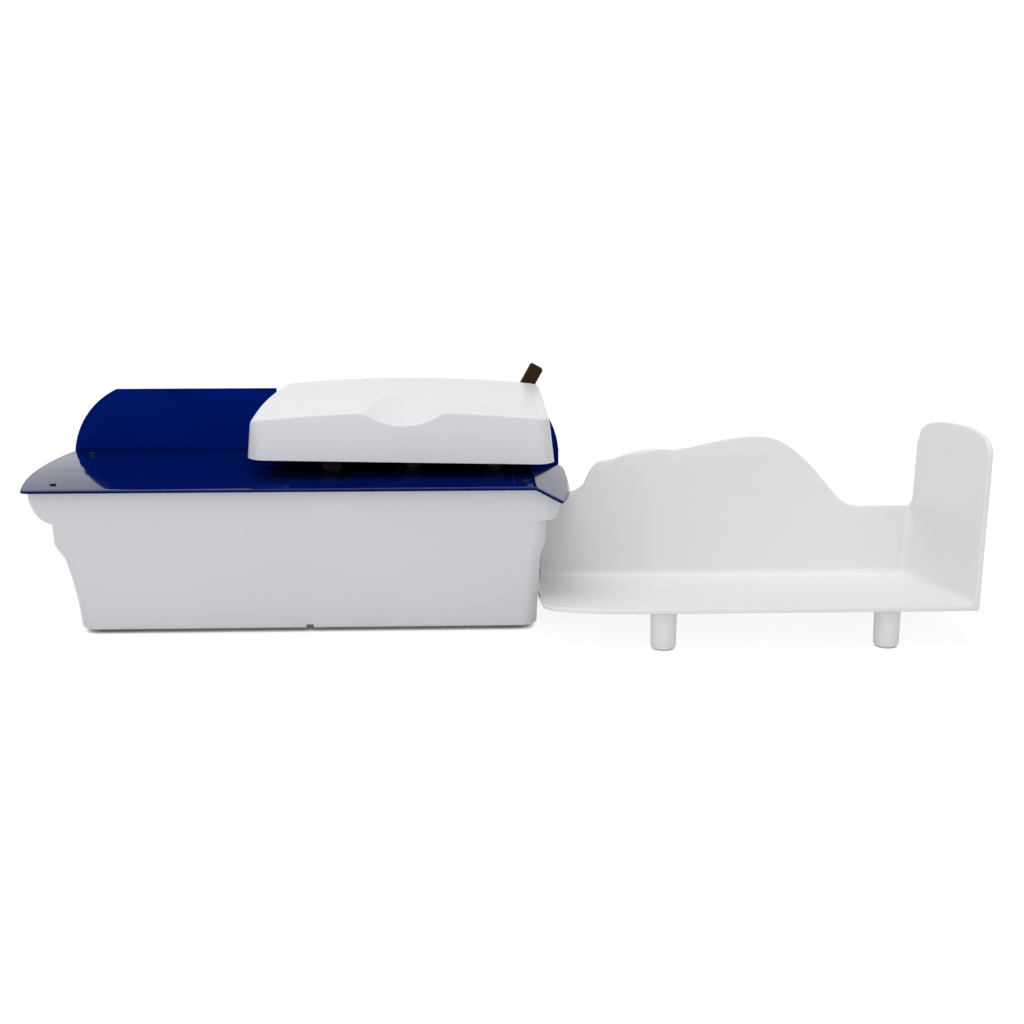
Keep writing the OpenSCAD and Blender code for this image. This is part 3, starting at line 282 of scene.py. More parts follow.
# --------------------------------------------------------------------------------------------------
# Base plate, its four screws and the feet: a zinc-bright pressed sheet screwed from below to the tub's lip.
# The feet are black rubber, tapered to the table and a little rounded where they stand.


def paint(finish, *names):
    """Gives carried-over pieces their finish."""
    for name in names:
        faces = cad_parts[name].data
        faces.materials.clear()
        faces.materials.append(finish)


def rounded(node, name, edge, finish, steps=2):
    """A copy of a piece with its triangles joined to whole faces and its sharp edges rounded."""
    piece = bpy.data.objects.new(name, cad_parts[node].data.copy())
    bpy.context.scene.collection.objects.link(piece)
    take(piece)
    bpy.ops.mesh.customdata_custom_splitnormals_clear()
    bpy.ops.object.mode_set(mode="EDIT")
    bpy.ops.mesh.select_all(action="SELECT")
    bpy.ops.mesh.remove_doubles(threshold=0.01 * MM)
    bpy.ops.mesh.dissolve_limited(angle_limit=math.radians(0.5))
    close_up()
    work(piece, "BEVEL", width=edge * MM, segments=steps, limit_method="ANGLE", angle_limit=math.radians(50),
         use_clamp_overlap=True)
    bpy.ops.object.shade_smooth_by_angle(angle=SMOOTH)
    piece.data.materials.clear()
    piece.data.materials.append(finish)
    return piece


steel = coating("bright_steel", ("9fa2a6", "b9bcc0"), 30, (0.26, 0.4), 0.6, 0.003, run=(0.08, 1, 1))
tune(steel, "Metallic", 1)
rubber = coating("black_rubber", ("1c1c1d", "262627"), 12, (0.62, 0.82), 0.5, 0.02)
paint(steel, "base_plate", "base_screws")
feet = rounded("rubber_feet", "feet", 1.2, rubber, 3)
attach(feet, "machine")
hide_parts("rubber_feet")

# --------------------------------------------------------------------------------------------------
# Feed drive: two bent bearing plates under the deck carry three ground shafts in sintered bronze bushes.
# Grooved rubber tyres are pressed on the shafts; a geared motor drives them by turned pulleys and flat belts.
bronze = coating("sintered_bronze", ("8f6238", "b07d4a"), 6, (0.4, 0.55), 0.25, 0.008)
brass = coating("turned_brass", ("b08d45", "cfae62"), 10, (0.2, 0.34), 0.4, 0.002, run=(1, 0.1, 1))
for metal in (bronze, brass):
    tune(metal, "Metallic", 1)
motor_paint = coating("grey_motor_paint", ("6c7278", "7a8087"), 25, (0.38, 0.5), 0.9, 0.01)
paint(steel, "front_bearing_plate", "rear_bearing_plate", "motor_bracket")
paint(steel, "pick_shaft", "feed_shaft", "exit_shaft")
paint(bronze, "shaft_bushes")
paint(brass, "motor_pulley", "pick_pulley", "feed_pulleys", "exit_pulley")
paint(rubber, "drive_belt", "transfer_belt")
paint(motor_paint, "feed_motor")
for row in ("pick", "feed", "exit"):
    tyres = rounded(row + "_tyres", row + "_tyre_pair", 0.5, rubber, 2)
    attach(tyres, row + "_roller")
    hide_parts(row + "_tyres")

# --------------------------------------------------------------------------------------------------
# Chip chute, rails and drawer: a dark plastic chute drops the paper trim into a white drawer on steel strips.
# The drawer is pulled out of the rear face by the hollow in its front panel.
# This grey plastic is painted near black: painted shade, so the press rollers read as dark as the shaded gap
# below the cover; the chute shares it.
grey_plastic = coating("grey_plastic", ("1d1d1e", "252526"), 40, (0.42, 0.55), 0.8, 0.012)
paint(grey_plastic, "chip_chute")
paint(steel, "drawer_rails")
drawer = rounded("chip_drawer", "drawer", 0.7, white, 3)
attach(drawer, "drawer")
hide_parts("chip_drawer")

# --------------------------------------------------------------------------------------------------
# Electrics: a green circuit board on the base plate, and the inlet and switch snapped into the tub's rear wall.
# Inlet, switch frame and rocker are fine-grained black plastic.
board = coating("green_board", ("0d5a30", "147040"), 4, (0.35, 0.6), 0.7, 0.02)
black_plastic = coating("black_plastic", ("19191a", "222223"), 20, (0.42, 0.56), 0.35, 0.012)
paint(board, "control_board")
for node, name, body, edge in (("mains_inlet", "inlet", "machine", 0.5),
                               ("switch_frame", "switch_surround", "machine", 0.5),
                               ("power_rocker", "rocker", "rocker", 0.6)):
    fitting = rounded(node, name, edge, black_plastic, 3)
    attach(fitting, body)
    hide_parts(node)

# --------------------------------------------------------------------------------------------------
# Deck: one sheet of steel in high-gloss navy enamel, with six windows for the tyres and a bowed left edge.
# Its right end is bent down as the discharge ramp, and the ramp's flared end is curled over as a lip.
navy = coating("navy_enamel", ("001769", "001b74"), 120, (0.05, 0.09), 6, 0.003)
# The deck's enamel is the wall's navy painted darker: painted shade, for the shade of the cover over the deck.
shaded_deck_navy = coating("navy_deck_enamel_painted_shade", ("001250", "00155a"), 120, (0.05, 0.09), 6, 0.003)
for enamel, shine in ((navy, 0.3), (shaded_deck_navy, 0.035)):
    tune(enamel, "Specular IOR Level", shine)
    tune(enamel, "Specular Tint", (0, 0.05, 0.4, 1))
deck_z, deck_left, deck_deep, deck_t, left_bow, left_corner = 148, -258, 236, 2, 13, 6
bend_x, bend_r, bend_steps, ramp_run, ramp_flare = 214, 10, 6, 22.3, 16
lip_curls, lip_ends, lip_swell = (40, 56, 72, 86), 0.4, 1.5
slot_x, slot_y, slot_half = (20, 100, 180), (112, 162), (10.7, 14)
rows = [12, 24, 36, 48, 60, 72, 84, 98, 112, 126, 137, 148, 162, 176, 188, 200, 212, 224]
deck = plate("deck", (deck_left, 0), (bend_x, deck_deep), deck_z)
for y in rows:
    bpy.ops.mesh.select_all(action="SELECT")
    bpy.ops.mesh.bisect(plane_co=(0, y, deck_z), plane_no=(0, 1, 0))
for x in [middle + side * slot_half[0] for middle in slot_x for side in (-1, 1)]:
    bpy.ops.mesh.select_all(action="SELECT")
    bpy.ops.mesh.bisect(plane_co=(x, 0, deck_z), plane_no=(1, 0, 0))
for x in slot_x:
    for y in slot_y:
        pick(deck, "FACE", lambda p: abs(p.x - x) < slot_half[0] + 0.1 and abs(p.y - y) < slot_half[1] + 0.1)
        bpy.ops.mesh.delete(type="FACE")
for y in rows:
    pick(deck, "VERT", lambda p: p.x < deck_left + 0.1 and abs(p.y - y) < 0.1)
    bpy.ops.transform.translate(value=(-left_bow * (1 - (2 * y / deck_deep - 1) ** 2), 0, 0))
pick(deck, "VERT", lambda p: p.x < deck_left + 0.1 and p.y < 0.1)
bpy.ops.mesh.bevel(offset=left_corner, segments=5, affect="VERTICES")
pick(deck, "EDGE", lambda p: p.x > bend_x - 0.1)
for k in range(bend_steps):
    fall = ramp_fall * (k + 0.5) / bend_steps
    run = bend_r * ramp_fall / bend_steps
    bpy.ops.mesh.extrude_region_move(
        TRANSFORM_OT_translate={"value": (run * math.cos(fall), 0, -run * math.sin(fall))})
bpy.ops.mesh.extrude_region_move(
    TRANSFORM_OT_translate={"value": (ramp_run, 0, -ramp_run * math.tan(ramp_fall))})
ramp_x = bend_x + 20
for y in rows + [deck_deep]:
    flare = ramp_flare * (1 - (1 - y / deck_deep) ** 2)
    pick(deck, "VERT", lambda p: p.x > ramp_x and abs(p.y - y) < 0.1)
    bpy.ops.transform.translate(value=(flare, 0, -flare * math.tan(ramp_fall)))
pick(deck, "EDGE", lambda p: p.x > ramp_x)
for curl in lip_curls:
    bpy.ops.mesh.extrude_region_move(TRANSFORM_OT_translate={"value": (0, 0, -0.01)})
    fall = math.radians(curl)
    form = bmesh.from_edit_mesh(deck.data)
    for v in [v for v in form.verts if v.select]:
        width = lip_ends + lip_swell * math.sin(math.pi * v.co.y / deck_deep)
        v.co += Vector((width * math.cos(fall), 0, -width * math.sin(fall)))
    bmesh.update_edit_mesh(deck.data)
close_up()
work(deck, "SOLIDIFY", thickness=deck_t, offset=-1, use_even_offset=True)
work(deck, "BEVEL", width=0.4, segments=2, limit_method="ANGLE", angle_limit=math.radians(60),
     use_clamp_overlap=False)
settle(deck, shaded_deck_navy)
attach(deck, "machine")
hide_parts("deck_plate")

# Deck screws: four slotted screws of blackened steel, driven through the deck into the tub's bosses.
# Their pan heads are low and flat, so that nothing catches on them.
dark_steel = coating("blackened_steel", ("2c2c2e", "3a3a3c"), 5, (0.34, 0.5), 0.4, 0.004)
tune(dark_steel, "Metallic", 1)
head_share = 0.55
screws = rounded("deck_screws", "deck_screw_heads", 0.35, dark_steel, 3)
bpy.ops.object.mode_set(mode="EDIT")
pick(screws, "VERT", lambda p: p.z > deck_z * MM)
bpy.ops.transform.resize(value=(1, 1, head_share), center_override=(0, 0, deck_z * MM))
close_up()
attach(screws, "machine")
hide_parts("deck_screws")

# --------------------------------------------------------------------------------------------------
# Guide wall: a folded sheet in the same navy enamel, with swept ends and a low middle below the cover.
# Its rear flange closes the tub behind the deck and carries the cutter and the housing.
wall = rounded("guide_wall", "guide_wall_sheet", 0.5, navy)
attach(wall, "machine")
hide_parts("guide_wall")

# --------------------------------------------------------------------------------------------------
# Cutter: a twelve-tooth milling head of bright steel on the spindle of a painted motor below the flange.
# A flat steel plate holds the motor there, and the spindle comes up through a hole in plate and flange.
paint(motor_paint, "cutter_motor")
paint(steel, "cutter_bracket", "cutter_head")

# --------------------------------------------------------------------------------------------------
# Rear housing and hinge: a white moulded box over the cutter, with a slot for the lever.
# Two blackened steel lugs stand on it and carry the pins of the cover.
housing = rounded("rear_housing", "housing", 1.0, white, 3)
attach(housing, "machine")
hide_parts("rear_housing")
# Their blackened steel is partly painted shade: it keeps the lugs dark in the shaded gap below the cover.
lugs = rounded("hinge_brackets", "hinge_lugs", 0.5, dark_steel)
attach(lugs, "machine")
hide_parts("hinge_brackets")

# --------------------------------------------------------------------------------------------------
# Press bridge, arms and rollers: a blackened channel over the paper path, with three arms on bright rods.
# The first arm holds brown friction pads, the other two carry dark grey plastic rollers over the tyres; pads
# and rollers are painted this dark as painted shade in the gap below the cover.
# The pads' brown is painted near black: painted shade for the gap below the cover.
pad_rubber = coating("brown_rubber_painted_shade", ("221812", "2c2018"), 8, (0.7, 0.85), 0.4, 0.025)
paint(steel, "arm_rods")
for node, name, body, edge, finish, slot in (
        ("press_bridge", "bridge", "machine", 0.5, dark_steel, "dark_steel"),
        ("separator_arm", "separator", "separator", 0.4, dark_steel, "dark_steel"),
        ("separator_pads", "friction_pads", "separator", 0.4, pad_rubber, "pad_rubber"),
        ("feed_press_arm", "feed_arm", "feed_press", 0.4, dark_steel, "dark_steel"),
        ("feed_press_rollers", "feed_arm_rollers", "feed_press_roll", 0.8, grey_plastic, "grey_plastic"),
        ("exit_press_arm", "exit_arm", "exit_press", 0.4, dark_steel, "dark_steel"),
        ("exit_press_rollers", "exit_arm_rollers", "exit_press_roll", 0.8, grey_plastic, "grey_plastic")):
    part = rounded(node, name, edge, finish)
    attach(part, body)
    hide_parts(node)

# --------------------------------------------------------------------------------------------------
# Lever with its shaft and cams: a moulded dark brown bar on the end of a ground shaft behind the cover.
# Swung to the left it turns two cams below the tails of the last arm and lifts its rollers.
brown = coating("brown_lever_plastic", ("281803", "301e06"), 16, (0.4, 0.52), 0.7, 0.01)
tune(brown, "Specular IOR Level", 0.12)
paint(steel, "lift_shaft")
paint(dark_steel, "lift_cams")
lever = rounded("gap_lever", "lever_bar", 0.9, brown, 3)
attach(lever, "lever")
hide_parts("gap_lever")

# --------------------------------------------------------------------------------------------------
# Cover: a hollow white moulding, crowned from end to end and rising to the rear, with a soft finger scoop.
# Its left end swings in towards the rear, and the lower edge runs a little downhill to the right.
cover_wall = 3
# Sides of the plan, the rounded edge's width there, how far the skirts lean out, and the corners
cover_l, cover_r, cover_f, cover_b = -55.2, 232.6, 60, 261.5
edge_l, edge_r, edge_f, edge_b = 7, 4, 2.2, 4
lean_l, lean_r, lean_f = 0.09, 0.12, 0.2
corner_f, corner_b = 12, 12
# How far the left end swings in between two depths, and how the hem falls from left to right
swing, swing_from, swing_to, swing_bend = 16, 85, 259, 2.5
hem_z, hem_fall, hem_left, hem_run = 167, 6, -60, 297
# The crease at the front, the crown and slope of the top, and the scoop
crease_z, cover_mid, crown, crown_half, slope = 202.5, 88.5, 9, 154.5, math.tan(math.radians(2.6))
crown_r = (crown_half ** 2 + crown ** 2) / (2 * crown)
scoop_mid, scoop_depth, scoop_w, scoop_dip = 92.5, 12.5, 79, math.tan(math.radians(8.76))
scoop_r = (scoop_w ** 2 / 4 + scoop_depth ** 2) / (2 * scoop_depth)
columns, ranks = 90, 62


def cover_height(x, y):
    """Height of the cover's top, with the scoop let in and softened along its edge."""
    across = x - cover_mid
    top = crease_z + crown - crown_r + math.sqrt(crown_r ** 2 - across ** 2) + slope * (y - cover_f)
    bowl = crease_z + crown - scoop_depth + scoop_dip * (y - cover_f)
    bowl += scoop_r - math.sqrt(max(0, scoop_r ** 2 - min(abs(x - scoop_mid), 0.98 * scoop_r) ** 2))
    soft = 2.2
    mix = max(0, soft - abs(top - bowl)) / soft
    return min(top, bowl) - mix ** 2 * soft / 4


def left_end(y):
    """The cover's left edge, swinging in towards the rear."""
    return cover_l + swing * share(y, swing_from, swing_to) ** swing_bend


def spread(start, end, steps):
    """Even steps between two values, both ends left out."""
    return [start + (end - start) * k / steps for k in range(1, steps)]


def cover_rim(inset):
    """Front, rear, left and right of the cover's plan at the foot (0) or the top (1) of its rounded edge.
    Each corner has eight steps, four on either side of it."""
    l, r, f, b = edge_l * inset, edge_r * inset, edge_f * inset, edge_b * inset
    y_turn = cover_b - corner_b
    turn = math.atan(left_end(y_turn + 1) - left_end(y_turn))
    y_left = y_turn + corner_b * math.sin(turn)
    far = left_end(y_left) + corner_b * math.cos(turn)

    def corner(x, y, rx, ry, start, end):
        turns = [math.radians(start + (end - start) * k / 8) for k in range(9)]
        return [Vector((x + rx * math.cos(t), y + ry * math.sin(t))) for t in turns]

    def tuck(spots, weights):
        for spot, weight in zip(spots, weights):
            spot.y -= lean_f * (crease_z - cover_height(spot.x, cover_f)) * weight
        return spots

    rising, y_front = [k / 8 for k in range(9)], cover_f + corner_f
    front_left = tuck(corner(cover_l + corner_f, y_front, corner_f - l, corner_f - f, 180, 270), rising)
    front_right = tuck(corner(cover_r - corner_f, y_front, corner_f - r, corner_f - f, 360, 270), rising)
    rear_right = corner(cover_r - corner_f, cover_b - corner_f, corner_f - r, corner_f - b, 0, 90)
    rear_left = corner(far, y_turn, corner_b - l, corner_b - b, 180 - math.degrees(turn), 90)
    front = [Vector((x, cover_f + f)) for x in spread(cover_l + corner_f, cover_r - corner_f, columns - 8)]
    rear = [Vector((x, cover_b - b)) for x in spread(far, cover_r - corner_f, columns - 8)]
    left = [Vector((left_end(y) + l, y)) for y in spread(y_front, y_left, ranks - 8)]
    right = [Vector((cover_r - r, y)) for y in spread(y_front, cover_b - corner_f, ranks - 8)]
    return (front_left[4:] + tuck(front, [1] * len(front)) + front_right[:3:-1],
            rear_left[4:] + rear + rear_right[:3:-1],
            front_left[4::-1] + left + rear_left[:5], front_right[4::-1] + right + rear_right[:5])


def cover_spot(sides, i, j):
    """A point of the plan between its four sides."""
    front, rear, left, right = sides
    u, v = i / columns, j / ranks
    between = front[i] * (1 - v) + rear[i] * v + left[j] * (1 - u) + right[j] * u
    return between - (front[0] * (1 - u) + front[-1] * u) * (1 - v) - (rear[0] * (1 - u) + rear[-1] * u) * v


bpy.ops.object.select_all(action="DESELECT")
bpy.ops.mesh.primitive_grid_add(x_subdivisions=columns, y_subdivisions=ranks, size=1)
cover = open_up("cover_shell")
top_rim, low_rim = cover_rim(1), cover_rim(0)
form = bmesh.from_edit_mesh(cover.data)
rim = {}
for v in form.verts:
    i, j = round((v.co.x + 0.5) * columns), round((v.co.y + 0.5) * ranks)
    spot = cover_spot(top_rim, i, j)
    v.co = (spot.x, spot.y, cover_height(spot.x, spot.y))
    if i in (0, columns) or j in (0, ranks):
        rim[v.co.to_tuple(4)] = (i, j)
bmesh.update_edit_mesh(cover.data)
bpy.ops.mesh.select_mode(type="EDGE")
bpy.ops.mesh.select_all(action="DESELECT")
form = bmesh.from_edit_mesh(cover.data)
for e in form.edges:
    if e.is_boundary:
        e.select_set(True)
bmesh.update_edit_mesh(cover.data)
for round_off, down in [(k / 6, 0) for k in range(1, 7)] + [(1, d) for d in (0.05, 0.3, 0.6, 0.97, 1)]:
    bpy.ops.mesh.extrude_region_move(TRANSFORM_OT_translate={"value": (0, 0, 0)})
    form = bmesh.from_edit_mesh(cover.data)
    moved = {}
    for v in [v for v in form.verts if v.select]:
        at = rim[v.co.to_tuple(4)]
        inner, outer = cover_spot(top_rim, *at), cover_spot(low_rim, *at)
        edge, out = (outer - inner).length, (outer - inner).normalized()
        lean = (lean_l if out.x < 0 else lean_r) * out.x ** 2 + (lean_f if out.y < 0 else 0) * out.y ** 2
        turn = (math.pi / 2 - math.atan(lean)) * round_off
        z = cover_height(inner.x, inner.y) - edge * (1 - math.cos(turn))
        fall = (z - hem_z + hem_fall * (outer.x - hem_left) / hem_run) * down
        spot = inner + out * (edge * math.sin(turn) + lean * fall)
        moved[v] = (spot.x, spot.y, z - fall)
        rim[Vector(moved[v]).to_tuple(4)] = at
    for v, place in moved.items():
        v.co = place
    bmesh.update_edit_mesh(cover.data)
bpy.ops.mesh.select_all(action="SELECT")
bpy.ops.mesh.normals_make_consistent(inside=False)
close_up()
work(cover, "SOLIDIFY", thickness=cover_wall, offset=-1, use_even_offset=True)
# Room behind for the guide wall, the housing and the lugs
rooms = (("wall_room", (-200, 232, 100), (400, 300, 191)),
         ("skirt_room", (-34, 232, 100), (400, 300, 200)),
         ("corner_room", (-200, 256, 100), (0, 300, 200)))
for name, low, high in rooms:
    cut(cover, block(name, low, high))
hinge_x, hinge_y, hinge_z, lug_r, lug_half = (-25, 190), 254, 203, 5, 4
for x in hinge_x:
    cut(cover, block("lug_room", (x - lug_half, hinge_y, 150), (x + lug_half, 290, hinge_z + lug_r + 1)))
settle(cover, white)
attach(cover, "cover")
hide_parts("top_cover")

# Hinge ribs: two white tongues moulded below the cover's top, with their lower ends rounded about the pins.
# The pins are plain bright steel; they sit in the ribs and turn in the lugs.
rib_t, rib_top = 5, 213.8
for x, name in zip(hinge_x, ("hinge_rib_left", "hinge_rib_right")):
    rib = block(name, (x + lug_half, hinge_y - lug_r, hinge_z - lug_r),
                (x + lug_half + rib_t, hinge_y + lug_r, rib_top))
    pick(rib, "EDGE", lambda p: p.z < hinge_z - lug_r + 0.1)
    form = bmesh.from_edit_mesh(rib.data)
    for e in form.edges:
        if e.select and abs(e.verts[0].co.x - e.verts[1].co.x) < 1:
            e.select_set(False)
    bmesh.update_edit_mesh(rib.data)
    bpy.ops.mesh.bevel(offset=lug_r - 0.05, segments=10)
    close_up()
    settle(rib, white)
    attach(rib, "cover")
paint(steel, "hinge_pins")

# --------------------------------------------------------------------------------------------------
# Receiving tray: a free-standing white moulding, floor, wavy back wall and leaning end wall in one sheet.
# It tilts back on two round front legs and two short rear feet; a thin ear is bent back over its brow.
tray_white = coating("tray_plastic", ("eaeae8", "ededeb"), 200, (0.31, 0.33), 0.8, 0.001)
# Floor and sheet, the back wall's highest and lowest parts and where the lowest starts; then the end wall's
# height and lean, the folds, and the tray's tilt and place
tray_len, tray_deep, tray_t, hump, low_end, low_from = 397, 225, 5, 148.5, 74.5, 344
end_top, lean_out, fold_z, fold_r = 165, math.tan(math.radians(4)), 10, 8
tray_tilt, tray_at = math.radians(-6.7), (223, -42, 42.6)


def bezier(points, steps):
    """Points on a cubic curve."""
    spots = []
    for k in range(steps + 1):
        t = k / steps
        w = ((1 - t) ** 3, 3 * t * (1 - t) ** 2, 3 * t ** 2 * (1 - t), t ** 3)
        spots.append([sum(f * p[i] for f, p in zip(w, points)) for i in (0, 1)])
    return spots


def height_at(path, x):
    """Height of a rising and falling line over a place."""
    for a, b in zip(path, path[1:]):
        if a[0] <= x <= b[0] and b[0] > a[0]:
            return a[1] + (b[1] - a[1]) * (x - a[0]) / (b[0] - a[0])
    return path[-1][1]


front_line = bezier(((0, 56), (0, 20), (32, 4), (88, 0)), 30) + [[tray_len, 0]]
back_left, brow_a, brow_b = 7, (72, hump - 24.5), (160, hump - 12)
back_line = (bezier(((back_left, hump - 75), (back_left, hump - 58), (46, hump - 62), (54, hump - 48)), 30)
             + bezier(((54, hump - 48), (59, hump - 36), (63, hump - 27), brow_a), 12)
             + bezier((brow_b, (178, hump - 9), (205, hump), (236, hump)), 20)
             + bezier(((236, hump), (262, hump), (275, hump - 13), (294, hump - 31)), 20)
             + bezier(((294, hump - 31), (318, hump - 58), (325, low_end), (low_from, low_end)), 20)
             + [[tray_len, low_end]])
end_line = (bezier(((0, end_top - 26), (0, end_top - 6), (60, end_top), (135, end_top)), 30)
            + bezier(((135, end_top), (189, end_top), (tray_deep, end_top - 3), (tray_deep, end_top - 26)), 30))
ear_l, ear_r = 84, 148
# Stations along the tray, closest where its outline turns, and shares of its depth from front to back
stations = [0, 1, 2.5, 5, back_left, 7.1, 7.4, 8, 9, 10.5, 12.5, 15, 18, 22, 26, 30, 34, 38, 42, 46, 49, 52]
stations += [54, 56, 58, 61, 64, 68, 72, 76, 80]
stations += [ear_l + (ear_r - ear_l) * k / 16 for k in range(17)] + [152, 156]
stations += [160 + 4 * k for k in range(57)] + [387.5, tray_len]
depths = [0, 0.004, 0.012, 0.03, 0.06, 0.1] + [0.1 + 0.8 * k / 16 for k in range(1, 17)] + [0.945, 0.955, 1]
bpy.ops.object.select_all(action="DESELECT")
bpy.ops.mesh.primitive_grid_add(x_subdivisions=len(stations) - 1, y_subdivisions=len(depths) - 1, size=1)
tray = open_up("tray_moulding")
form = bmesh.from_edit_mesh(tray.data)
for v in form.verts:
    u = stations[round((v.co.x + 0.5) * (len(stations) - 1))]
    d = depths[round((v.co.y + 0.5) * (len(depths) - 1))]
    edge = height_at(front_line, u)
    v.co = (u, edge + (tray_deep - edge) * d, 0)
bmesh.update_edit_mesh(tray.data)
risers = [fold_z] + [fold_z + (low_end - fold_z) * k / 6 for k in range(1, 7)]
pick(tray, "EDGE", lambda p: p.y > tray_deep - 0.01 and p.x > back_left - 0.01)
for k in range(len(risers)):
    bpy.ops.mesh.extrude_region_move(TRANSFORM_OT_translate={"value": (0, 0, 0)})
    form = bmesh.from_edit_mesh(tray.data)
    for v in [v for v in form.verts if v.select]:
        base = v.co.x - v.co.z * lean_out * share(v.co.x - v.co.z * lean_out, low_from, tray_len)
        top = height_at(back_line, base)
        z = fold_z + (top - fold_z) * k / (len(risers) - 1)
        v.co = (base + z * lean_out * share(base, low_from, tray_len), tray_deep, z)
    bmesh.update_edit_mesh(tray.data)
pick(tray, "EDGE", lambda p: p.x > tray_len - 0.01 and abs(p.z) < 0.01)
upper = 8
for k in range(len(risers) + upper):
    bpy.ops.mesh.extrude_region_move(TRANSFORM_OT_translate={"value": (0, 0, 0)})
    form = bmesh.from_edit_mesh(tray.data)
    for v in [v for v in form.verts if v.select]:
        top = height_at(end_line, v.co.y)
        z = risers[k] if k < len(risers) else low_end + (top - low_end) * (k + 1 - len(risers)) / upper
        v.co = (tray_len + z * lean_out, v.co.y, z)
    bmesh.update_edit_mesh(tray.data)
bpy.ops.mesh.select_all(action="SELECT")
bpy.ops.mesh.remove_doubles(threshold=0.02)
bpy.ops.mesh.normals_make_consistent(inside=False)
form = bmesh.from_edit_mesh(tray.data)
if sum(f.normal.z * f.calc_area() for f in form.faces) < 0:
    bpy.ops.mesh.flip_normals()


def inner_fold(p):
    """True along the folds between floor, back wall and end wall."""
    on_floor, on_back = abs(p.z) < 0.01 and p.x > back_left - 0.01, p.y > tray_deep - 0.01
    on_end = p.x > tray_len + p.z * lean_out - 0.01
    return (on_floor and (on_back or on_end)) or (on_back and on_end and p.z < low_end + 0.01)


brow_slope = (brow_b[1] - brow_a[1]) / (brow_b[0] - brow_a[0])
pick(tray, "EDGE", lambda p: ear_l - 0.1 < p.x < ear_r + 0.1 and p.y > tray_deep - 0.01
     and p.z > brow_a[1] + brow_slope * (p.x - brow_a[0]) - 0.5)
ear_h, ear_bend, ear_steps = 6, math.radians(35), 4
ear_round = ((ear_r - ear_l) ** 2 / 4 + ear_h ** 2) / (2 * ear_h)
for k in range(ear_steps):
    bpy.ops.mesh.extrude_region_move(TRANSFORM_OT_translate={"value": (0, 0, 0)})
    form = bmesh.from_edit_mesh(tray.data)
    for v in [v for v in form.verts if v.select]:
        across = v.co.x - (ear_l + ear_r) / 2
        rise = (ear_h - ear_round + math.sqrt(ear_round ** 2 - across ** 2)) / ear_steps
        turn = ear_bend * (k + 1) / ear_steps
        v.co += Vector((0, rise * math.sin(turn), rise * math.cos(turn)))
    bmesh.update_edit_mesh(tray.data)
bpy.ops.mesh.select_all(action="SELECT")
bpy.ops.mesh.remove_doubles(threshold=0.02)
close_up()
work(tray, "SOLIDIFY", thickness=tray_t, offset=-1, use_even_offset=True)
bpy.ops.object.mode_set(mode="EDIT")
pick(tray, "EDGE", inner_fold)
bpy.ops.mesh.bevel(offset=fold_r, segments=6, clamp_overlap=False)
pick(tray, "FACE", lambda p: abs(p.y) < 0.01)
bpy.ops.mesh.dissolve_faces()
close_up()
work(tray, "BEVEL", width=1.1, segments=3, limit_method="ANGLE", angle_limit=math.radians(55),
     use_clamp_overlap=False)
take(tray)
tray.rotation_euler = (tray_tilt, 0, 0)
tray.location = tray_at
bpy.ops.object.transform_apply(location=True, rotation=True, scale=True)
settle(tray, tray_white)
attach(tray, "tray")
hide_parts("tray_shell")
for node, name in (("tray_front_legs", "front_legs"), ("tray_rear_feet", "rear_feet")):
    legs = rounded(node, name, 0.6, tray_white)
    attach(legs, "tray")
    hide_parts(node)

# --------------------------------------------------------------------------------------------------
# Studio: a plain white floor that keeps the shadow, with a painted shadow where ambient occlusion darkens its
# glow under and beside the machine, a white surround and three large soft lamps.
# The camera stands in front of the machine, about twice as high as the cover, and looks a little down.
bpy.ops.object.select_all(action="DESELECT")
bpy.ops.mesh.primitive_plane_add(size=14)
floor = bpy.context.object
floor.name = "studio_floor"
pale = bpy.data.materials.new("studio_white")
pale.use_nodes = True
nodes, links = pale.node_tree.nodes, pale.node_tree.links
for node in list(nodes):
    nodes.remove(node)


def seen_white(nodes, links, plain, bright, keep):
    """Mixes a plain shader with a bright one for the rays that show it: camera, glossy and transmission.
    keep is a node that gives the bright one's share."""
    rays = nodes.new("ShaderNodeLightPath")
    first = nodes.new("ShaderNodeMath")
    second = nodes.new("ShaderNodeMath")
    weight = nodes.new("ShaderNodeMath")
    first.operation = second.operation = "ADD"
    first.use_clamp = second.use_clamp = True
    weight.operation = "MULTIPLY"
    links.new(keep.outputs[0], weight.inputs[1])
    links.new(rays.outputs["Is Camera Ray"], first.inputs[0])
    links.new(rays.outputs["Is Glossy Ray"], first.inputs[1])
    links.new(first.outputs[0], second.inputs[0])
    links.new(rays.outputs["Is Transmission Ray"], second.inputs[1])
    links.new(second.outputs[0], weight.inputs[0])
    blend = nodes.new("ShaderNodeMixShader")
    links.new(weight.outputs[0], blend.inputs[0])
    links.new(plain.outputs[0], blend.inputs[1])
    links.new(bright.outputs[0], blend.inputs[2])
    return blend


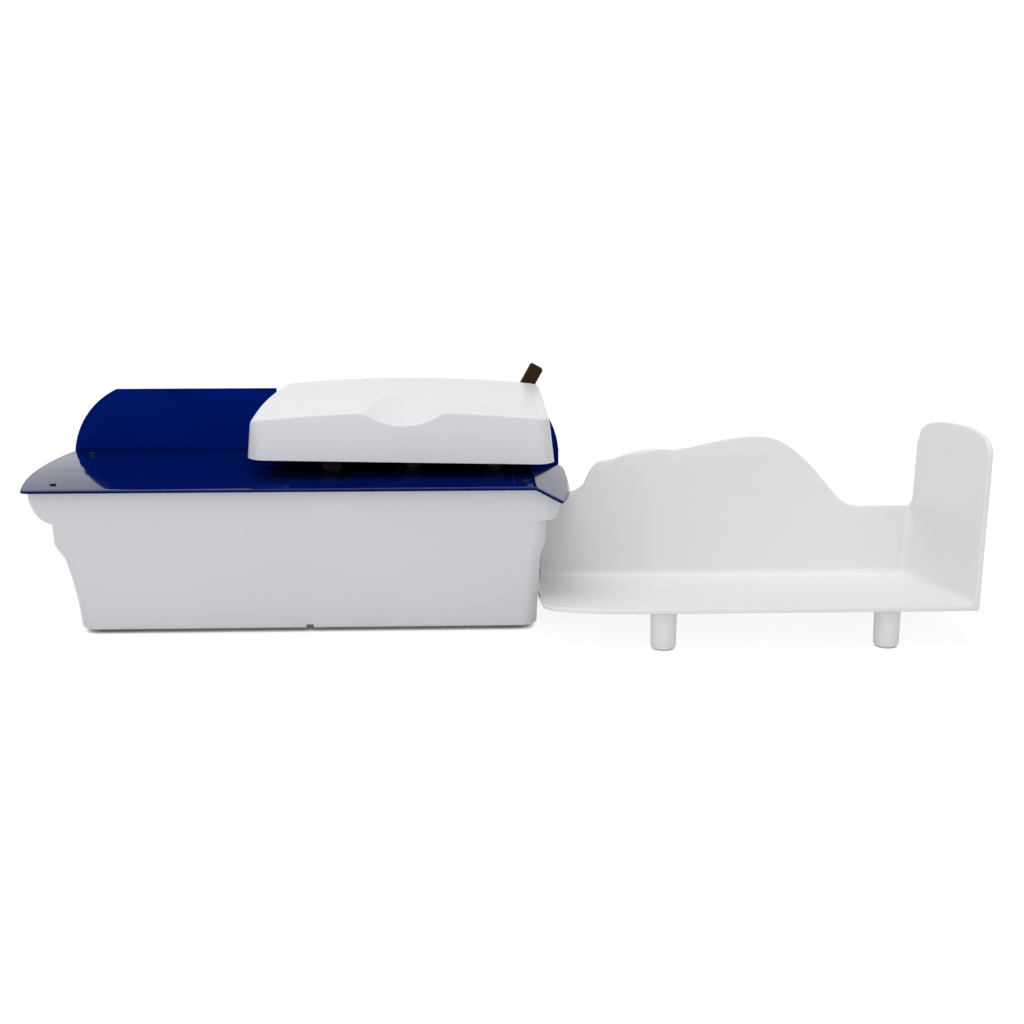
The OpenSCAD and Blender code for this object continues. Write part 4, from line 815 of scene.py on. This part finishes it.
matt = nodes.new("ShaderNodeBsdfDiffuse")
matt.inputs["Color"].default_value = (0.95, 0.95, 0.95, 1)
# Ambient occlusion darkens the floor's glow under and close beside the machine: a painted shadow.
painted_shadow_ao = nodes.new("ShaderNodeAmbientOcclusion")
painted_shadow_ao.samples = 8
painted_shadow_ao.inputs["Distance"].default_value = 0.02
under = nodes.new("ShaderNodeMapRange")
under.inputs["From Min"].default_value = 0.08
under.inputs["From Max"].default_value = 0.4
links.new(painted_shadow_ao.outputs["AO"], under.inputs["Value"])
glow = nodes.new("ShaderNodeEmission")
glow.inputs["Strength"].default_value = 1.08
links.new(under.outputs["Result"], glow.inputs["Color"])
spot = nodes.new("ShaderNodeTexCoord")
away = nodes.new("ShaderNodeVectorMath")
away.operation = "LENGTH"
links.new(spot.outputs["Object"], away.inputs[0])
keep = nodes.new("ShaderNodeMapRange")
keep.interpolation_type = "SMOOTHSTEP"
keep.inputs["From Min"].default_value = 0.6
keep.inputs["From Max"].default_value = 1.5
keep.inputs["To Min"].default_value = 0.84
keep.inputs["To Max"].default_value = 1
links.new(away.outputs["Value"], keep.inputs["Value"])
blend = seen_white(nodes, links, matt, glow, keep)
out = nodes.new("ShaderNodeOutputMaterial")
links.new(blend.outputs[0], out.inputs["Surface"])
floor.data.materials.append(pale)

world = bpy.data.worlds.new("studio")
bpy.context.scene.world = world
world.use_nodes = True
nodes, links = world.node_tree.nodes, world.node_tree.links
for node in list(nodes):
    nodes.remove(node)
fill = nodes.new("ShaderNodeBackground")
fill.inputs["Color"].default_value = (0.95, 0.97, 1, 1)
fill.inputs["Strength"].default_value = 0.35
surround = nodes.new("ShaderNodeBackground")
surround.inputs["Color"].default_value = (1, 1, 1, 1)
surround.inputs["Strength"].default_value = 1
keep = nodes.new("ShaderNodeValue")
keep.outputs[0].default_value = 1
blend = seen_white(nodes, links, fill, surround, keep)
out = nodes.new("ShaderNodeOutputWorld")
links.new(blend.outputs[0], out.inputs["Surface"])

for name, place, aim, size, power in (("overhead", (-0.3, -0.4, 2.2), (0, 0, 0), 2.4, 33),
                                      ("front_high", (0.3, -2.2, 1.9), (0.1, 0, 0.1), 2.0, 11),
                                      ("front_left", (-1.8, -2.2, 1.0), (0, 0, 0.1), 2.0, 6)):
    lamp = bpy.data.lights.new(name, "AREA")
    lamp.size = size
    lamp.energy = power
    lit = bpy.data.objects.new(name, lamp)
    bpy.context.scene.collection.objects.link(lit)
    lit.location = place
    lit.rotation_euler = (Vector(aim) - Vector(place)).to_track_quat("-Z", "Y").to_euler()

view = bpy.data.cameras.new("front_view")
view.lens, view.sensor_width = 56.25, 36
camera = bpy.data.objects.new("front_view", view)
bpy.context.scene.collection.objects.link(camera)
camera.location = (-0.0450, -1.6005, 0.428)
camera.rotation_euler = (math.radians(78.28), 0, math.radians(-2.2))
bpy.context.scene.camera = camera
bpy.context.scene.view_settings.view_transform = "Standard"
